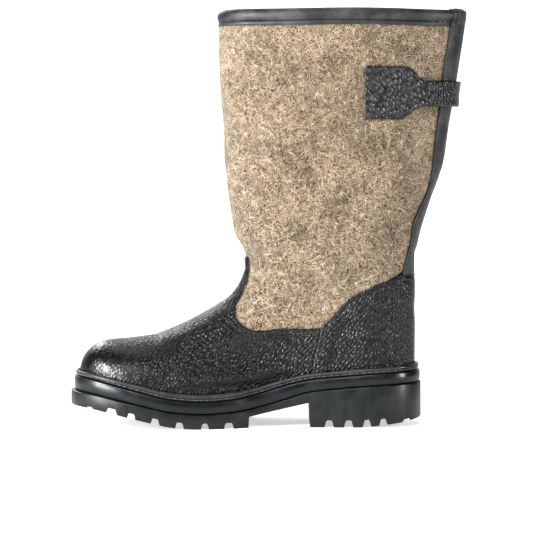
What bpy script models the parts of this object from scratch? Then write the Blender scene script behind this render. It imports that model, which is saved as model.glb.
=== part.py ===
"""Felt-shaft winter boot for the right foot, each of a maker's pieces as its own solid.

The toe points to -X, the inner side of the foot to -Y and the shaft to +Z. Lengths are in metres.
Along the foot, places are measured from the middle of the sole, and an empty then carries the whole
boot so that the origin lies on the floor under the middle of its outline.
"""

import math
from typing import NamedTuple

import bmesh
import bpy
from mathutils import Vector

MM = 0.001

# Driving sizes of the sole
SOLE_LENGTH = 290 * MM
BALL_WIDTH = 108 * MM
WAIST_WIDTH = 78 * MM
HEEL_WIDTH = 77 * MM
OUTSOLE_THICKNESS = 12 * MM
MIDSOLE_THICKNESS = 10 * MM
WELT_HEIGHT = 5.5 * MM
TOE_SPRING = 18 * MM
HEEL_LIFT = 24 * MM
HEEL_BEVEL = 6.5 * MM
LUG_DEPTH = 5 * MM
CHANNEL_WIDTH = 4 * MM
SIDE_CHAMFER = 0.9 * MM
INSOLE_THICKNESS = 4 * MM

# How far the outlines above the outsole lie inside its own
MIDSOLE_TOE_INSET = 3.0 * MM
MIDSOLE_SIDE_INSET = 1.6 * MM
MIDSOLE_HEEL_INSET = 0.9 * MM
WELT_TOE_INSET = 3.8 * MM
WELT_SIDE_INSET = 2.2 * MM
WELT_HEEL_INSET = 1.8 * MM
FELT_TOE_INSET = 9.0 * MM
FELT_SIDE_INSET = 8.6 * MM
FELT_HEEL_INSET = 7.6 * MM

# Driving sizes of the upper
INSTEP_HEIGHT = 128.5 * MM
BOOT_HEIGHT = 343 * MM
COLLAR_LENGTH = 203 * MM
COLLAR_WIDTH = 98 * MM
ANKLE_WIDTH = 79 * MM
SHAFT_WALL = 4.8 * MM
FOOT_WALL = 2.2 * MM
EDGE_WALL = 3.0 * MM

# Leather pieces
VAMP_LEATHER = 1.7 * MM
COUNTER_LEATHER = 2.3 * MM
STRIP_LEATHER = 1.8 * MM
STRIP_REACH = 12 * MM
TAPE_THICKNESS = 1.4 * MM
TAPE_DEPTH = 14 * MM
TAPE_PROUD = 0.2 * MM
TUCK_RUN = 2.5 * MM
STRAP_LEATHER = 2.0 * MM
STRAP_WIDTH = 20.5 * MM
STRAP_DROP = 69 * MM
STRAP_LIFT = 4.2 * MM
PATCH_LENGTH = 31 * MM
PATCH_HEIGHT = 43 * MM
PATCH_FROM_BACK = 74 * MM
STRAP_NECK = 0.17
STRAP_CLIMB = 0.3

# Clearance between neighbours
GAP = 0.3 * MM
OVERLAY_GAP = 0.35 * MM
FIT = 0.5 * MM
SEAT_GAP = 0.7 * MM

# How finely the pieces are divided
AROUND = 44
STRAP_COLUMNS = 18
STRAP_ROWS = 2

# Exponents of the rounded ends, the crest and the shaft's egg shape
END_POWER = 2.2
CREST_POWER = 2.3
SIDE_POWER = 0.52
SHAFT_EGG = 0.08

# How far the rounding of the outline reaches in from each end
TOE_ROUND = 0.25 * SOLE_LENGTH
HEEL_ROUND = 0.135 * SOLE_LENGTH

# Height of the strap's middle line
STRAP_LEVEL = BOOT_HEIGHT - STRAP_DROP


class Inset(NamedTuple):
    """How far an outline lies inside the outsole's own."""

    toe: float
    side: float
    heel: float

    def by(self, more):
        """The outline that lies this much further in."""
        return Inset(self.toe + more, self.side + more, self.heel + more)


FULL = Inset(0, 0, 0)
MIDSOLE_EDGE = Inset(MIDSOLE_TOE_INSET, MIDSOLE_SIDE_INSET, MIDSOLE_HEEL_INSET)
WELT_EDGE = Inset(WELT_TOE_INSET, WELT_SIDE_INSET, WELT_HEEL_INSET)
FELT_EDGE = Inset(FELT_TOE_INSET, FELT_SIDE_INSET, FELT_HEEL_INSET)


class Station(NamedTuple):
    """The sole at one place along its length."""

    along: float  # share of the sole's length, from the toe
    half: float  # half width of the outsole before its ends are rounded
    centre: float  # where the middle of the outline lies, outwards positive
    ridge: float  # where the crest of the upper lies
    spring: float  # share of the toe spring
    lift: float  # share of the heel lift
    midsole: float  # share of the midsole's thickness
    welt: float  # share of the welt's height


STATIONS = (
    Station(0.00, 0.470 * BALL_WIDTH, -0.085 * BALL_WIDTH, -0.080 * BALL_WIDTH, 1.00, 0.00, 1.20, 0.80),
    Station(0.06, 0.475 * BALL_WIDTH, -0.078 * BALL_WIDTH, -0.078 * BALL_WIDTH, 0.91, 0.00, 1.20, 0.85),
    Station(0.12, 0.485 * BALL_WIDTH, -0.066 * BALL_WIDTH, -0.074 * BALL_WIDTH, 0.73, 0.00, 1.15, 0.90),
    Station(0.20, 0.500 * BALL_WIDTH, -0.046 * BALL_WIDTH, -0.068 * BALL_WIDTH, 0.44, 0.00, 1.08, 1.00),
    Station(0.30, 0.500 * BALL_WIDTH, -0.020 * BALL_WIDTH, -0.058 * BALL_WIDTH, 0.09, 0.00, 1.02, 1.05),
    Station(0.38, 0.487 * BALL_WIDTH, 0.004 * BALL_WIDTH, -0.046 * BALL_WIDTH, 0.00, 0.00, 1.00, 1.10),
    Station(0.46, 0.448 * BALL_WIDTH, 0.022 * BALL_WIDTH, -0.032 * BALL_WIDTH, 0.00, 0.04, 1.02, 1.10),
    Station(0.52, 0.535 * WAIST_WIDTH, 0.032 * BALL_WIDTH, -0.020 * BALL_WIDTH, 0.00, 0.15, 1.08, 1.05),
    Station(0.60, 0.500 * WAIST_WIDTH, 0.034 * BALL_WIDTH, -0.008 * BALL_WIDTH, 0.00, 0.41, 1.14, 1.00),
    Station(0.68, 0.490 * WAIST_WIDTH, 0.024 * BALL_WIDTH, 0.000 * BALL_WIDTH, 0.00, 0.70, 1.00, 0.95),
    Station(0.76, 0.495 * HEEL_WIDTH, 0.010 * BALL_WIDTH, 0.000 * BALL_WIDTH, 0.00, 0.82, 0.96, 0.95),
    Station(0.86, 0.500 * HEEL_WIDTH, 0.000 * BALL_WIDTH, 0.000 * BALL_WIDTH, 0.00, 0.92, 0.96, 0.95),
    Station(1.00, 0.500 * HEEL_WIDTH, 0.000 * BALL_WIDTH, 0.000 * BALL_WIDTH, 0.00, 1.00, 1.00, 1.00),
)


class FootRow(NamedTuple):
    """One loop of the upper over the foot, from the crest in front to the heel behind."""

    front_x: float  # share of the sole's length, from the toe
    front_z: float  # share of the instep's height
    back_z: float  # share of the instep's height
    sag: float  # share of the rim's dip that the loop follows
    shaft: float  # share of the shaft's round section in it
    wall: float  # share of the way from the foot's wall to the shaft's


FOOT_ROWS = (
    FootRow(0.0393, 0.433, 0.470, 0.85, 0.00, 0.0),
    FootRow(0.0528, 0.468, 0.521, 0.70, 0.00, 0.0),
    FootRow(0.0738, 0.512, 0.572, 0.55, 0.00, 0.0),
    FootRow(0.1003, 0.534, 0.620, 0.42, 0.00, 0.0),
    FootRow(0.1641, 0.541, 0.667, 0.30, 0.00, 0.0),
    FootRow(0.2259, 0.556, 0.714, 0.20, 0.00, 0.0),
    FootRow(0.2876, 0.602, 0.762, 0.12, 0.00, 0.0),
    FootRow(0.3493, 0.668, 0.809, 0.06, 0.00, 0.1),
    FootRow(0.4103, 0.745, 0.856, 0.03, 0.08, 0.2),
    FootRow(0.4621, 0.814, 0.904, 0.00, 0.28, 0.4),
    FootRow(0.4903, 0.912, 0.951, 0.00, 0.62, 0.7),
)


class ShaftRow(NamedTuple):
    """The shaft's section at one height above the bend of the instep."""

    rise: float  # share of the way from the bend to the collar
    forward: float  # share of the collar's extra length that it has in front
    backward: float  # the same behind
    wide: float  # share of the way from the ankle's width to the collar's


SHAFT_ROWS = (
    ShaftRow(0.000, 0.000, 0.000, 0.00),
    ShaftRow(0.055, 0.022, 0.000, -0.02),
    ShaftRow(0.099, 0.081, 0.038, 0.00),
    ShaftRow(0.134, 0.149, 0.062, 0.05),
    ShaftRow(0.204, 0.197, 0.127, 0.15),
    ShaftRow(0.286, 0.234, 0.214, 0.28),
    ShaftRow(0.345, 0.259, 0.286, 0.38),
    ShaftRow(0.423, 0.284, 0.361, 0.52),
    ShaftRow(0.540, 0.296, 0.414, 0.70),
    ShaftRow(0.677, 0.333, 0.489, 0.84),
    ShaftRow(0.794, 0.352, 0.549, 0.93),
    ShaftRow(0.946, 0.358, 0.621, 0.99),
    ShaftRow(1.000, 0.358, 0.641, 1.00),
)
SHAFT_LOOPS = (0.0, 0.055, 0.105, 0.165, 0.24, 0.33, 0.43, 0.55, 0.69, 0.83)
ANKLE_FRONT_ALONG = 0.5038


class EdgePoint(NamedTuple):
    """A corner of a leather edge as it is seen from the side."""

    along: float  # share of the sole's length, from the toe
    high: float  # share of the instep's height


VAMP_EDGE = (
    EdgePoint(0.4400, 1.082),
    EdgePoint(0.5070, 1.080),
    EdgePoint(0.5100, 1.025),
    EdgePoint(0.5075, 0.940),
    EdgePoint(0.4910, 0.844),
    EdgePoint(0.4735, 0.780),
    EdgePoint(0.4690, 0.722),
    EdgePoint(0.4780, 0.670),
    EdgePoint(0.5020, 0.630),
    EdgePoint(0.5300, 0.614),
    EdgePoint(0.5850, 0.620),
    EdgePoint(0.6450, 0.626),
    EdgePoint(0.7400, 0.626),
)
COUNTER_EDGE = (
    EdgePoint(0.676, 0.160),
    EdgePoint(0.689, 0.370),
    EdgePoint(0.6965, 0.460),
    EdgePoint(0.7080, 0.577),
    EdgePoint(0.7180, 0.647),
    EdgePoint(0.7430, 0.737),
    EdgePoint(0.7830, 0.809),
    EdgePoint(0.8220, 0.858),
    EdgePoint(0.8620, 0.903),
    EdgePoint(0.9060, 0.940),
    EdgePoint(0.9340, 0.975),
    EdgePoint(0.9520, 0.982),
)
COUNTER_TOP = 0.982


class StripPoint(NamedTuple):
    """How far the back strip reaches forward of the back line at one height."""

    high: float  # share of the way from the counter's top to the binding
    reach: float  # share of the strip's widest reach


STRIP_EDGE = (
    StripPoint(0.000, 0.78),
    StripPoint(0.027, 0.66),
    StripPoint(0.075, 0.46),
    StripPoint(0.137, 0.47),
    StripPoint(0.200, 0.60),
    StripPoint(0.264, 0.47),
    StripPoint(0.323, 0.38),
    StripPoint(0.390, 0.55),
    StripPoint(0.457, 0.70),
    StripPoint(0.619, 0.80),
    StripPoint(0.859, 1.00),
    StripPoint(1.000, 0.97),
)


class LugGap(NamedTuple):
    """A gap between two rows of lugs, right across the tread."""

    along: float  # share of the sole's length, from the toe
    width: float  # share of the sole's length, at the lugs' faces
    depth: float  # share of the lugs' depth


LUG_GAPS = (
    LugGap(0.0600, 0.018, 0.30),
    LugGap(0.1230, 0.032, 0.90),
    LugGap(0.1790, 0.025, 0.90),
    LugGap(0.2460, 0.026, 1.00),
    LugGap(0.3140, 0.025, 1.00),
    LugGap(0.3850, 0.023, 1.00),
    LugGap(0.4520, 0.028, 1.00),
    LugGap(0.7350, 0.027, 1.20),
    LugGap(0.7900, 0.027, 1.20),
    LugGap(0.8420, 0.025, 1.20),
    LugGap(0.8880, 0.024, 1.10),
    LugGap(0.9550, 0.022, 0.42),
)
GAP_DRAFT = 0.28
FOREFOOT_END = 0.507
BREAST_TOP = 0.678
BREAST_FOOT = 0.686
BEVEL_FROM = 0.80
WAIST_FRONT_RISE = 9.0 * MM
WAIST_BACK_RISE = 20.2 * MM
CHANNEL_SHARE = 0.42
CHANNEL_RUNS = ((0.075, FOREFOOT_END + 0.02), (BREAST_FOOT - 0.02, 0.925))

# Colours in linear light, roughness and metal
FINISHES = {
    "rubber": ((0.026, 0.029, 0.029), 0.55, 0.0),
    "midsole_rubber": ((0.030, 0.033, 0.033), 0.48, 0.0),
    "welt_rubber": ((0.048, 0.052, 0.052), 0.5, 0.0),
    "leather": ((0.018, 0.018, 0.019), 0.38, 0.0),
    "strip_leather": ((0.027, 0.028, 0.031), 0.45, 0.0),
    "tape": ((0.033, 0.035, 0.040), 0.5, 0.0),
    "strap_leather": ((0.024, 0.024, 0.026), 0.42, 0.0),
    "felt": ((0.434, 0.305, 0.188), 0.95, 0.0),
    "insole_board": ((0.30, 0.27, 0.22), 0.9, 0.0),
}


def sole_x(along):
    """A share of the sole's length, as a place along X."""
    return (along - 0.5) * SOLE_LENGTH


def smooth(points, at):
    """The value at one place of a smooth curve through (place, value) pairs, level past its ends.

    Between two pairs the curve never leaves the range of their values.
    """
    if at <= points[0][0]:
        return points[0][1]
    if at >= points[-1][0]:
        return points[-1][1]
    after = next(index for index, point in enumerate(points) if point[0] > at)
    low, high = points[after - 1], points[after]
    span = high[0] - low[0]
    start, end = slope_at(points, after - 1), slope_at(points, after)
    t = (at - low[0]) / span
    return (
        (2 * t**3 - 3 * t**2 + 1) * low[1]
        + (t**3 - 2 * t**2 + t) * span * start
        + (3 * t**2 - 2 * t**3) * high[1]
        + (t**3 - t**2) * span * end
    )


def slope_at(points, index):
    """The slope of the smooth curve at one of its pairs, level where the values turn."""
    steps = []
    for low, high in ((index - 1, index), (index, index + 1)):
        if low >= 0 and high < len(points):
            steps.append((points[high][1] - points[low][1]) / (points[high][0] - points[low][0]))
    if len(steps) == 1:
        return steps[0]
    if steps[0] * steps[1] <= 0:
        return 0.0
    return 2 * steps[0] * steps[1] / (steps[0] + steps[1])


def station_column(name):
    """One column of the stations against the place along X."""
    return [(sole_x(station.along), getattr(station, name)) for station in STATIONS]


COLUMN = {name: station_column(name) for name in Station._fields[1:]}


def sole_value(name, x):
    """The value of one column of the stations at a place along X."""
    return smooth(COLUMN[name], x)


def tread_z(x):
    """Height of the lugs' faces above the floor."""
    past = max(0.0, (x - sole_x(BEVEL_FROM)) / (sole_x(1.0) - sole_x(BEVEL_FROM)))
    return TOE_SPRING * sole_value("spring", x) + HEEL_BEVEL * past**1.5


def groove_z(x):
    """Height of the groove between outsole and midsole."""
    spring = TOE_SPRING * sole_value("spring", x)
    return OUTSOLE_THICKNESS + spring + HEEL_LIFT * sole_value("lift", x)


def seat_z(x):
    """Height of the midsole's top, on which the upper and the welt stand."""
    return groove_z(x) + MIDSOLE_THICKNESS * sole_value("midsole", x)


def rim_z(x):
    """Height of the welt's top."""
    return seat_z(x) + WELT_HEIGHT * sole_value("welt", x)


def round_end(distance, reach):
    """Share of the full half width at a distance from a rounded end."""
    left = 1.0 - min(max(distance, 0.0) / reach, 1.0)
    return (1.0 - left**END_POWER) ** (1.0 / END_POWER)


def outline_ends(inset):
    """The first and last place along X of an outline."""
    return -SOLE_LENGTH / 2 + inset.toe, SOLE_LENGTH / 2 - inset.heel


def half_width(x, inset):
    """Half the width of an outline at a place along X."""
    first, last = outline_ends(inset)
    ends = round_end(x - first, TOE_ROUND) * round_end(last - x, HEEL_ROUND)
    return (sole_value("half", x) - inset.side) * ends


def around():
    """The angles of one loop: 0 at the toe, a quarter turn at the inner side, a half at the heel."""
    return [2 * math.pi * index / AROUND for index in range(AROUND)]


def side_of(angle):
    """-1 on the inner side of the foot, 1 on the outer."""
    return -1.0 if angle < math.pi else 1.0


def along_loop(angle, first, last):
    """Place along X of one angle of a loop."""
    return first + (last - first) * (1 - math.cos(angle)) / 2


def sole_loop(inset, height, lift=0.0):
    """A loop with the sole's outline, at the height that a function of x gives."""
    first, last = outline_ends(inset)
    loop = []
    for angle in around():
        x = along_loop(angle, first, last)
        y = sole_value("centre", x) + side_of(angle) * half_width(x, inset)
        loop.append(Vector((x, y, height(x) + lift)))
    return loop


def grown(loop, outward):
    """A loop moved outwards in plan by a distance."""
    moved = []
    for index, point in enumerate(loop):
        run = loop[(index + 1) % len(loop)] - loop[index - 1]
        normal = Vector((run.y, -run.x, 0)).normalized()
        moved.append(point + outward * normal)
    return moved


def crest_points():
    """The crest of the upper as (x, z) pairs, carried on steeply above the bend."""
    first, _ = outline_ends(FELT_EDGE)
    points = [(first, rim_z(first))]
    points += [(sole_x(row.front_x), row.front_z * INSTEP_HEIGHT) for row in FOOT_ROWS]
    bend = sole_x(ANKLE_FRONT_ALONG)
    points.append((bend, INSTEP_HEIGHT))
    points.append((bend + 0.25 * SOLE_LENGTH, 2.5 * INSTEP_HEIGHT))
    return points


CREST = crest_points()


def foot_y(x, z, side):
    """Where the foot's wall lies to the side, at a place along X and a height."""
    low = rim_z(x)
    share = min(max((z - low) / (smooth(CREST, x) - low), 0.0), 1.0)
    ridge = sole_value("ridge", x)
    edge = sole_value("centre", x) + side * half_width(x, FELT_EDGE)
    return ridge + (edge - ridge) * (1.0 - share**CREST_POWER) ** SIDE_POWER


def shaft_values(z):
    """First x, last x and half width of the shaft at a height."""
    rise = (z - INSTEP_HEIGHT) / (BOOT_HEIGHT - INSTEP_HEIGHT)
    _, heel = outline_ends(FELT_EDGE)
    bend = sole_x(ANKLE_FRONT_ALONG)
    extra = COLLAR_LENGTH - (heel - bend)
    forward = smooth([(row.rise, row.forward) for row in SHAFT_ROWS], rise)
    backward = smooth([(row.rise, row.backward) for row in SHAFT_ROWS], rise)
    wide = smooth([(row.rise, row.wide) for row in SHAFT_ROWS], rise)
    half = (ANKLE_WIDTH + (COLLAR_WIDTH - ANKLE_WIDTH) * wide) / 2
    return bend - extra * forward, heel + extra * backward, half


def shaft_xy(angle, z):
    """Where the shaft's wall lies in plan, at an angle and a height."""
    first, last, half = shaft_values(z)
    wide = -half * math.sin(angle) * (1 + SHAFT_EGG * math.cos(angle))
    return Vector((along_loop(angle, first, last), wide, 0))


def shaft_point(angle, z, outward=0.0, level=None):
    """A point of the shaft's wall moved outwards; level is its height where that differs from z."""
    step = math.pi / AROUND
    run = shaft_xy(angle + step, z) - shaft_xy(angle - step, z)
    normal = Vector((run.y, -run.x, 0)).normalized()
    point = shaft_xy(angle, z) + outward * normal
    point.z = z if level is None else level
    return point


def foot_loop(row):
    """One loop of the upper over the foot."""
    first = sole_x(row.front_x)
    _, last = outline_ends(FELT_EDGE)
    front, back = row.front_z * INSTEP_HEIGHT, row.back_z * INSTEP_HEIGHT
    loop = []
    for angle in around():
        x = along_loop(angle, first, last)
        share = (x - first) / (last - first)
        dip = rim_z(x) - (rim_z(first) * (1 - share) + rim_z(last) * share)
        z = front * (1 - share) + back * share + row.sag * dip
        y = foot_y(x, z, side_of(angle))
        if row.shaft:
            half = ANKLE_WIDTH / 2
            egg = -half * math.sin(angle) * (1 + SHAFT_EGG * math.cos(angle))
            y += row.shaft * (egg - y)
        loop.append(Vector((x, y, z)))
    return loop


def rise_z(rise):
    """Height of a share of the way from the bend to the collar."""
    return INSTEP_HEIGHT + rise * (BOOT_HEIGHT - INSTEP_HEIGHT)


def foot_part():
    """The upper's loops from the feather edge to the bend, each with its wall."""
    loops = [
        (sole_loop(FELT_EDGE, seat_z, SEAT_GAP), FOOT_WALL),
        (sole_loop(FELT_EDGE, rim_z), FOOT_WALL),
    ]
    for row in FOOT_ROWS:
        loops.append((foot_loop(row), FOOT_WALL + row.wall * (SHAFT_WALL - FOOT_WALL)))
    return loops


def shaft_part():
    """The upper's loops from the bend to the thinned edge under the binding, each with its wall."""
    loops = []
    for rise in SHAFT_LOOPS:
        z = rise_z(rise)
        loops.append(([shaft_point(angle, z) for angle in around()], SHAFT_WALL))
    tuck = TAPE_THICKNESS + GAP - TAPE_PROUD
    for drop, outward, wall in (
        (TAPE_DEPTH + TUCK_RUN, 0.0, SHAFT_WALL),
        (TAPE_DEPTH + FIT, -tuck, EDGE_WALL),
        (TAPE_THICKNESS + SEAT_GAP, -tuck, EDGE_WALL),
    ):
        z = BOOT_HEIGHT - drop
        loops.append(([shaft_point(angle, z, outward) for angle in around()], wall))
    return loops


def make_material(name):
    """A material of the part's own colour, roughness and metallic value."""
    colour, rough, metal = FINISHES[name]
    material = bpy.data.materials.new(name)
    material.use_nodes = True
    surface = material.node_tree.nodes["Principled BSDF"]
    surface.inputs["Base Color"].default_value = (*colour, 1)
    surface.inputs["Roughness"].default_value = rough
    surface.inputs["Metallic"].default_value = metal
    material.diffuse_color = (*colour, 1)
    return material


def make_collection(name, shown=True):
    """A collection in the scene."""
    collection = bpy.data.collections.new(name)
    bpy.context.scene.collection.children.link(collection)
    collection.hide_render = not shown
    return collection


def finish_mesh(name, shape):
    """A mesh object from a bmesh, its faces turned outwards."""
    bmesh.ops.recalc_face_normals(shape, faces=shape.faces)
    mesh = bpy.data.meshes.new(name)
    shape.to_mesh(mesh)
    shape.free()
    return bpy.data.objects.new(name, mesh)


def add_part(thing, collection, finish):
    """Puts a sub-part in its collection with its own material, shaded smooth."""
    collection.objects.link(thing)
    thing.data.materials.append(make_material(finish))
    thing.data.shade_smooth()
    thing.data.set_sharp_from_angle(angle=math.radians(35))
    return thing


def add_cutter(thing, collection):
    """Puts a cutter in its collection, out of the render."""
    collection.objects.link(thing)
    thing.hide_render = True
    thing.display_type = "WIRE"
    return thing


def join_loops(shape, loops, closed=False):
    """Faces between each pair of neighbouring loops of a bmesh's vertices."""
    pairs = list(zip(loops, loops[1:]))
    if closed:
        pairs.append((loops[-1], loops[0]))
    for low, high in pairs:
        for index in range(len(low)):
            after = (index + 1) % len(low)
            shape.faces.new((low[index], low[after], high[after], high[index]))


def ladder(shape, loop):
    """Closes a loop with rungs that run straight across from one side to the other."""
    count = len(loop)
    shape.faces.new((loop[0], loop[1], loop[-1]))
    for index in range(1, count // 2 - 1):
        shape.faces.new((loop[index], loop[index + 1], loop[count - index - 1], loop[count - index]))
    middle = count // 2
    shape.faces.new((loop[middle - 1], loop[middle], loop[middle + 1]))


def plate(name, loops):
    """A solid with a curved top and bottom, from the loops of its side."""
    shape = bmesh.new()
    rings = [[shape.verts.new(point) for point in loop] for loop in loops]
    join_loops(shape, rings)
    ladder(shape, rings[0])
    ladder(shape, rings[-1])
    return finish_mesh(name, shape)


def ring(name, loops):
    """A closed ring, from the loops round its section."""
    shape = bmesh.new()
    rings = [[shape.verts.new(point) for point in loop] for loop in loops]
    join_loops(shape, rings, closed=True)
    return finish_mesh(name, shape)


def sheet(name, loops):
    """An open surface through closed loops, facing out."""
    shape = bmesh.new()
    rings = [[shape.verts.new(point) for point in loop] for loop in loops]
    join_loops(shape, rings)
    bmesh.ops.triangulate(shape, faces=shape.faces)
    mesh = bpy.data.meshes.new(name)
    shape.to_mesh(mesh)
    shape.free()
    return bpy.data.objects.new(name, mesh)


def thicken(thing, thickness, outward):
    """Gives an open surface its wall."""
    wall = thing.modifiers.new("wall", "SOLIDIFY")
    wall.thickness = thickness
    wall.offset = 1.0 if outward else -1.0
    wall.use_even_offset = True
    return wall


def side_prism(name, corners):
    """A cutter with an outline seen from the side, right through the boot."""
    shape = bmesh.new()
    reach = BALL_WIDTH + COLLAR_WIDTH
    verts = [shape.verts.new((x, -reach, z)) for x, z in corners]
    face = shape.faces.new(verts)
    grown_part = bmesh.ops.extrude_face_region(shape, geom=[face])
    moved = [item for item in grown_part["geom"] if isinstance(item, bmesh.types.BMVert)]
    bmesh.ops.translate(shape, verts=moved, vec=(0, 2 * reach, 0))
    return finish_mesh(name, shape)


def cut(thing, tool, operation):
    """A Boolean of one object with another."""
    change = thing.modifiers.new(tool.name, "BOOLEAN")
    change.operation = operation
    change.object = tool
    change.solver = "EXACT"
    return change


def edge_corner(point):
    """A corner of a leather edge in metres."""
    return sole_x(point.along), point.high * INSTEP_HEIGHT


def refined(corners, steps=2):
    """A smooth line through corners, for a cutter's curved edge."""
    line = []
    last = len(corners) - 1
    for index in range(last):
        before = Vector(corners[max(index - 1, 0)])
        here = Vector(corners[index])
        there = Vector(corners[index + 1])
        beyond = Vector(corners[min(index + 2, last)])
        for step in range(steps):
            t = step / steps
            start, end = (there - before) / 2, (beyond - here) / 2
            point = (2 * t**3 - 3 * t**2 + 1) * here + (t**3 - 2 * t**2 + t) * start
            point += (3 * t**2 - 2 * t**3) * there + (t**3 - t**2) * end
            line.append(tuple(point))
    line.append(tuple(corners[last]))
    return line


def build_outsole(parts, cutters):
    """Outsole and heel in one block, cut away at the waist and between its lugs."""
    loops = [
        sole_loop(FULL.by(SIDE_CHAMFER), tread_z),
        sole_loop(FULL, tread_z, 1.2 * SIDE_CHAMFER),
        sole_loop(FULL, groove_z, -SIDE_CHAMFER - GAP / 2),
        sole_loop(FULL.by(SIDE_CHAMFER), groove_z, -GAP / 2),
    ]
    outsole = add_part(plate("outsole", loops), parts, "rubber")
    below = -SOLE_LENGTH / 10
    waist = side_prism(
        "waist_cutter",
        [
            (sole_x(FOREFOOT_END), below),
            (sole_x(FOREFOOT_END), WAIST_FRONT_RISE),
            (sole_x(BREAST_TOP), WAIST_BACK_RISE),
            (sole_x(BREAST_FOOT), below),
        ],
    )
    cut(outsole, add_cutter(waist, cutters), "DIFFERENCE")
    tread = make_collection("tread_cutters", shown=False)
    cutters.children.link(tread)
    bpy.context.scene.collection.children.unlink(tread)
    for number, gap in enumerate(LUG_GAPS, 1):
        add_cutter(gap_prism(f"lug_gap_{number}", gap), tread)
    for number, (first, last) in enumerate(CHANNEL_RUNS, 1):
        for side in (-1.0, 1.0):
            channel = channel_strip(sole_x(first), sole_x(last), side)
            name = f"channel_{number}_{'inner' if side < 0 else 'outer'}"
            add_cutter(finish_mesh(name, channel), tread)
    change = outsole.modifiers.new("tread", "BOOLEAN")
    change.operation = "DIFFERENCE"
    change.operand_type = "COLLECTION"
    change.collection = tread
    change.solver = "EXACT"
    return outsole


def gap_prism(name, gap):
    """The cutter of one gap, wider at the lugs' faces than at its root."""
    middle = sole_x(gap.along)
    half = gap.width * SOLE_LENGTH / 2
    deep = gap.depth * LUG_DEPTH
    spread = GAP_DRAFT * deep
    root = half - spread
    below = half + spread
    corners = []
    for across, down in ((-below, -deep), (below, -deep), (root, deep), (-root, deep)):
        x = middle + across
        corners.append((x, tread_z(x) + down))
    return side_prism(name, corners)


def channel_y(x, side):
    """Where the channel between side lugs and middle lugs runs."""
    return sole_value("centre", x) + side * CHANNEL_SHARE * half_width(x, FULL)


def channel_strip(first, last, side, pieces=7):
    """A channel along the tread, as a lofted strip."""
    shape = bmesh.new()
    rings = []
    for index in range(pieces + 1):
        x = first + (last - first) * index / pieces
        y, z = channel_y(x, side), tread_z(x)
        half = CHANNEL_WIDTH / 2
        top, low = z + 0.92 * LUG_DEPTH, z - LUG_DEPTH
        corners = ((y - half, low), (y + half, low), (y + half, top), (y - half, top))
        rings.append([shape.verts.new((x, across, high)) for across, high in corners])
    join_loops(shape, rings)
    shape.faces.new(rings[0])
    shape.faces.new(rings[-1])
    return shape


def build_midsole(parts):
    """The smooth band between outsole and welt, a plate under the whole foot."""
    loops = [
        sole_loop(MIDSOLE_EDGE.by(SIDE_CHAMFER), groove_z, GAP / 2),
        sole_loop(MIDSOLE_EDGE, groove_z, SIDE_CHAMFER + GAP / 2),
        sole_loop(MIDSOLE_EDGE, seat_z, -SIDE_CHAMFER),
        sole_loop(MIDSOLE_EDGE.by(SIDE_CHAMFER), seat_z),
    ]
    return add_part(plate("midsole", loops), parts, "midsole_rubber")


def build_welt(parts):
    """The rolled rim round the foot of the upper, clear of the thicker leather."""
    clear = OVERLAY_GAP + COUNTER_LEATHER + GAP
    bead = 0.3 * WELT_HEIGHT
    low = sole_loop(FELT_EDGE, seat_z, SEAT_GAP)
    high = sole_loop(FELT_EDGE, rim_z, -0.1 * WELT_HEIGHT)
    loops = [
        grown(low, clear),
        sole_loop(WELT_EDGE.by(0.4 * bead), seat_z, SEAT_GAP),
        sole_loop(WELT_EDGE, seat_z, 0.6 * bead + SEAT_GAP),
        sole_loop(WELT_EDGE, rim_z, -bead),
        sole_loop(WELT_EDGE.by(0.45 * bead), rim_z, -0.3 * bead),
        sole_loop(WELT_EDGE.by(0.85 * bead), rim_z),
        grown(high, clear),
    ]
    return add_part(ring("welt", loops), parts, "welt_rubber")


def build_insole(parts):
    """The board inside, on the midsole."""
    edge = FELT_EDGE.by(FOOT_WALL + FIT)
    loops = [
        sole_loop(edge, seat_z, SEAT_GAP),
        sole_loop(edge, seat_z, 0.7 * INSOLE_THICKNESS + SEAT_GAP),
        sole_loop(edge.by(0.3 * INSOLE_THICKNESS), seat_z, INSOLE_THICKNESS + SEAT_GAP),
    ]
    return add_part(plate("insole", loops), parts, "insole_board")


def build_upper(parts):
    """The hollow felt body, its wall thin under the leather and thick in the shaft."""
    loops = foot_part() + shaft_part()
    upper = sheet("upper", [loop for loop, _ in loops])
    group = upper.vertex_groups.new(name="wall")
    for number, (loop, wall) in enumerate(loops):
        indices = range(number * AROUND, number * AROUND + len(loop))
        group.add(list(indices), wall / SHAFT_WALL, "REPLACE")
    wall = thicken(upper, SHAFT_WALL, outward=False)
    wall.vertex_group = group.name
    return add_part(upper, parts, "felt")


def overlay(name, loops, thickness, finish, parts, tool):
    """A leather piece that lies a gap outside the felt, with its outline cut from the side."""
    piece = sheet(name, loops)
    clear = piece.modifiers.new("clearance", "DISPLACE")
    clear.strength = OVERLAY_GAP
    clear.mid_level = 0.0
    thicken(piece, thickness, outward=True)
    cut(piece, tool, "INTERSECT")
    return add_part(piece, parts, finish)


def build_vamp(parts, cutters):
    """Leather over toe, instep and sides, up to the felt and back to the counter."""
    front = -SOLE_LENGTH
    below = -SOLE_LENGTH / 10
    top = refined([edge_corner(point) for point in VAMP_EDGE])
    back = refined([edge_corner(point) for point in COUNTER_EDGE])
    back = [(x - GAP, z) for x, z in back if z < top[-1][1]]
    met = [point for point in top if point[0] < back[-1][0] - GAP]
    corners = [(front, below), (front, top[0][1])] + met
    corners += [(back[-1][0], top[-1][1])] + back[::-1] + [(back[0][0], below)]
    tool = add_cutter(side_prism("vamp_cutter", corners), cutters)
    loops = [loop for loop, _ in foot_part() + shaft_part()[:4]]
    return overlay("vamp", loops, VAMP_LEATHER, "leather", parts, tool)


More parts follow.
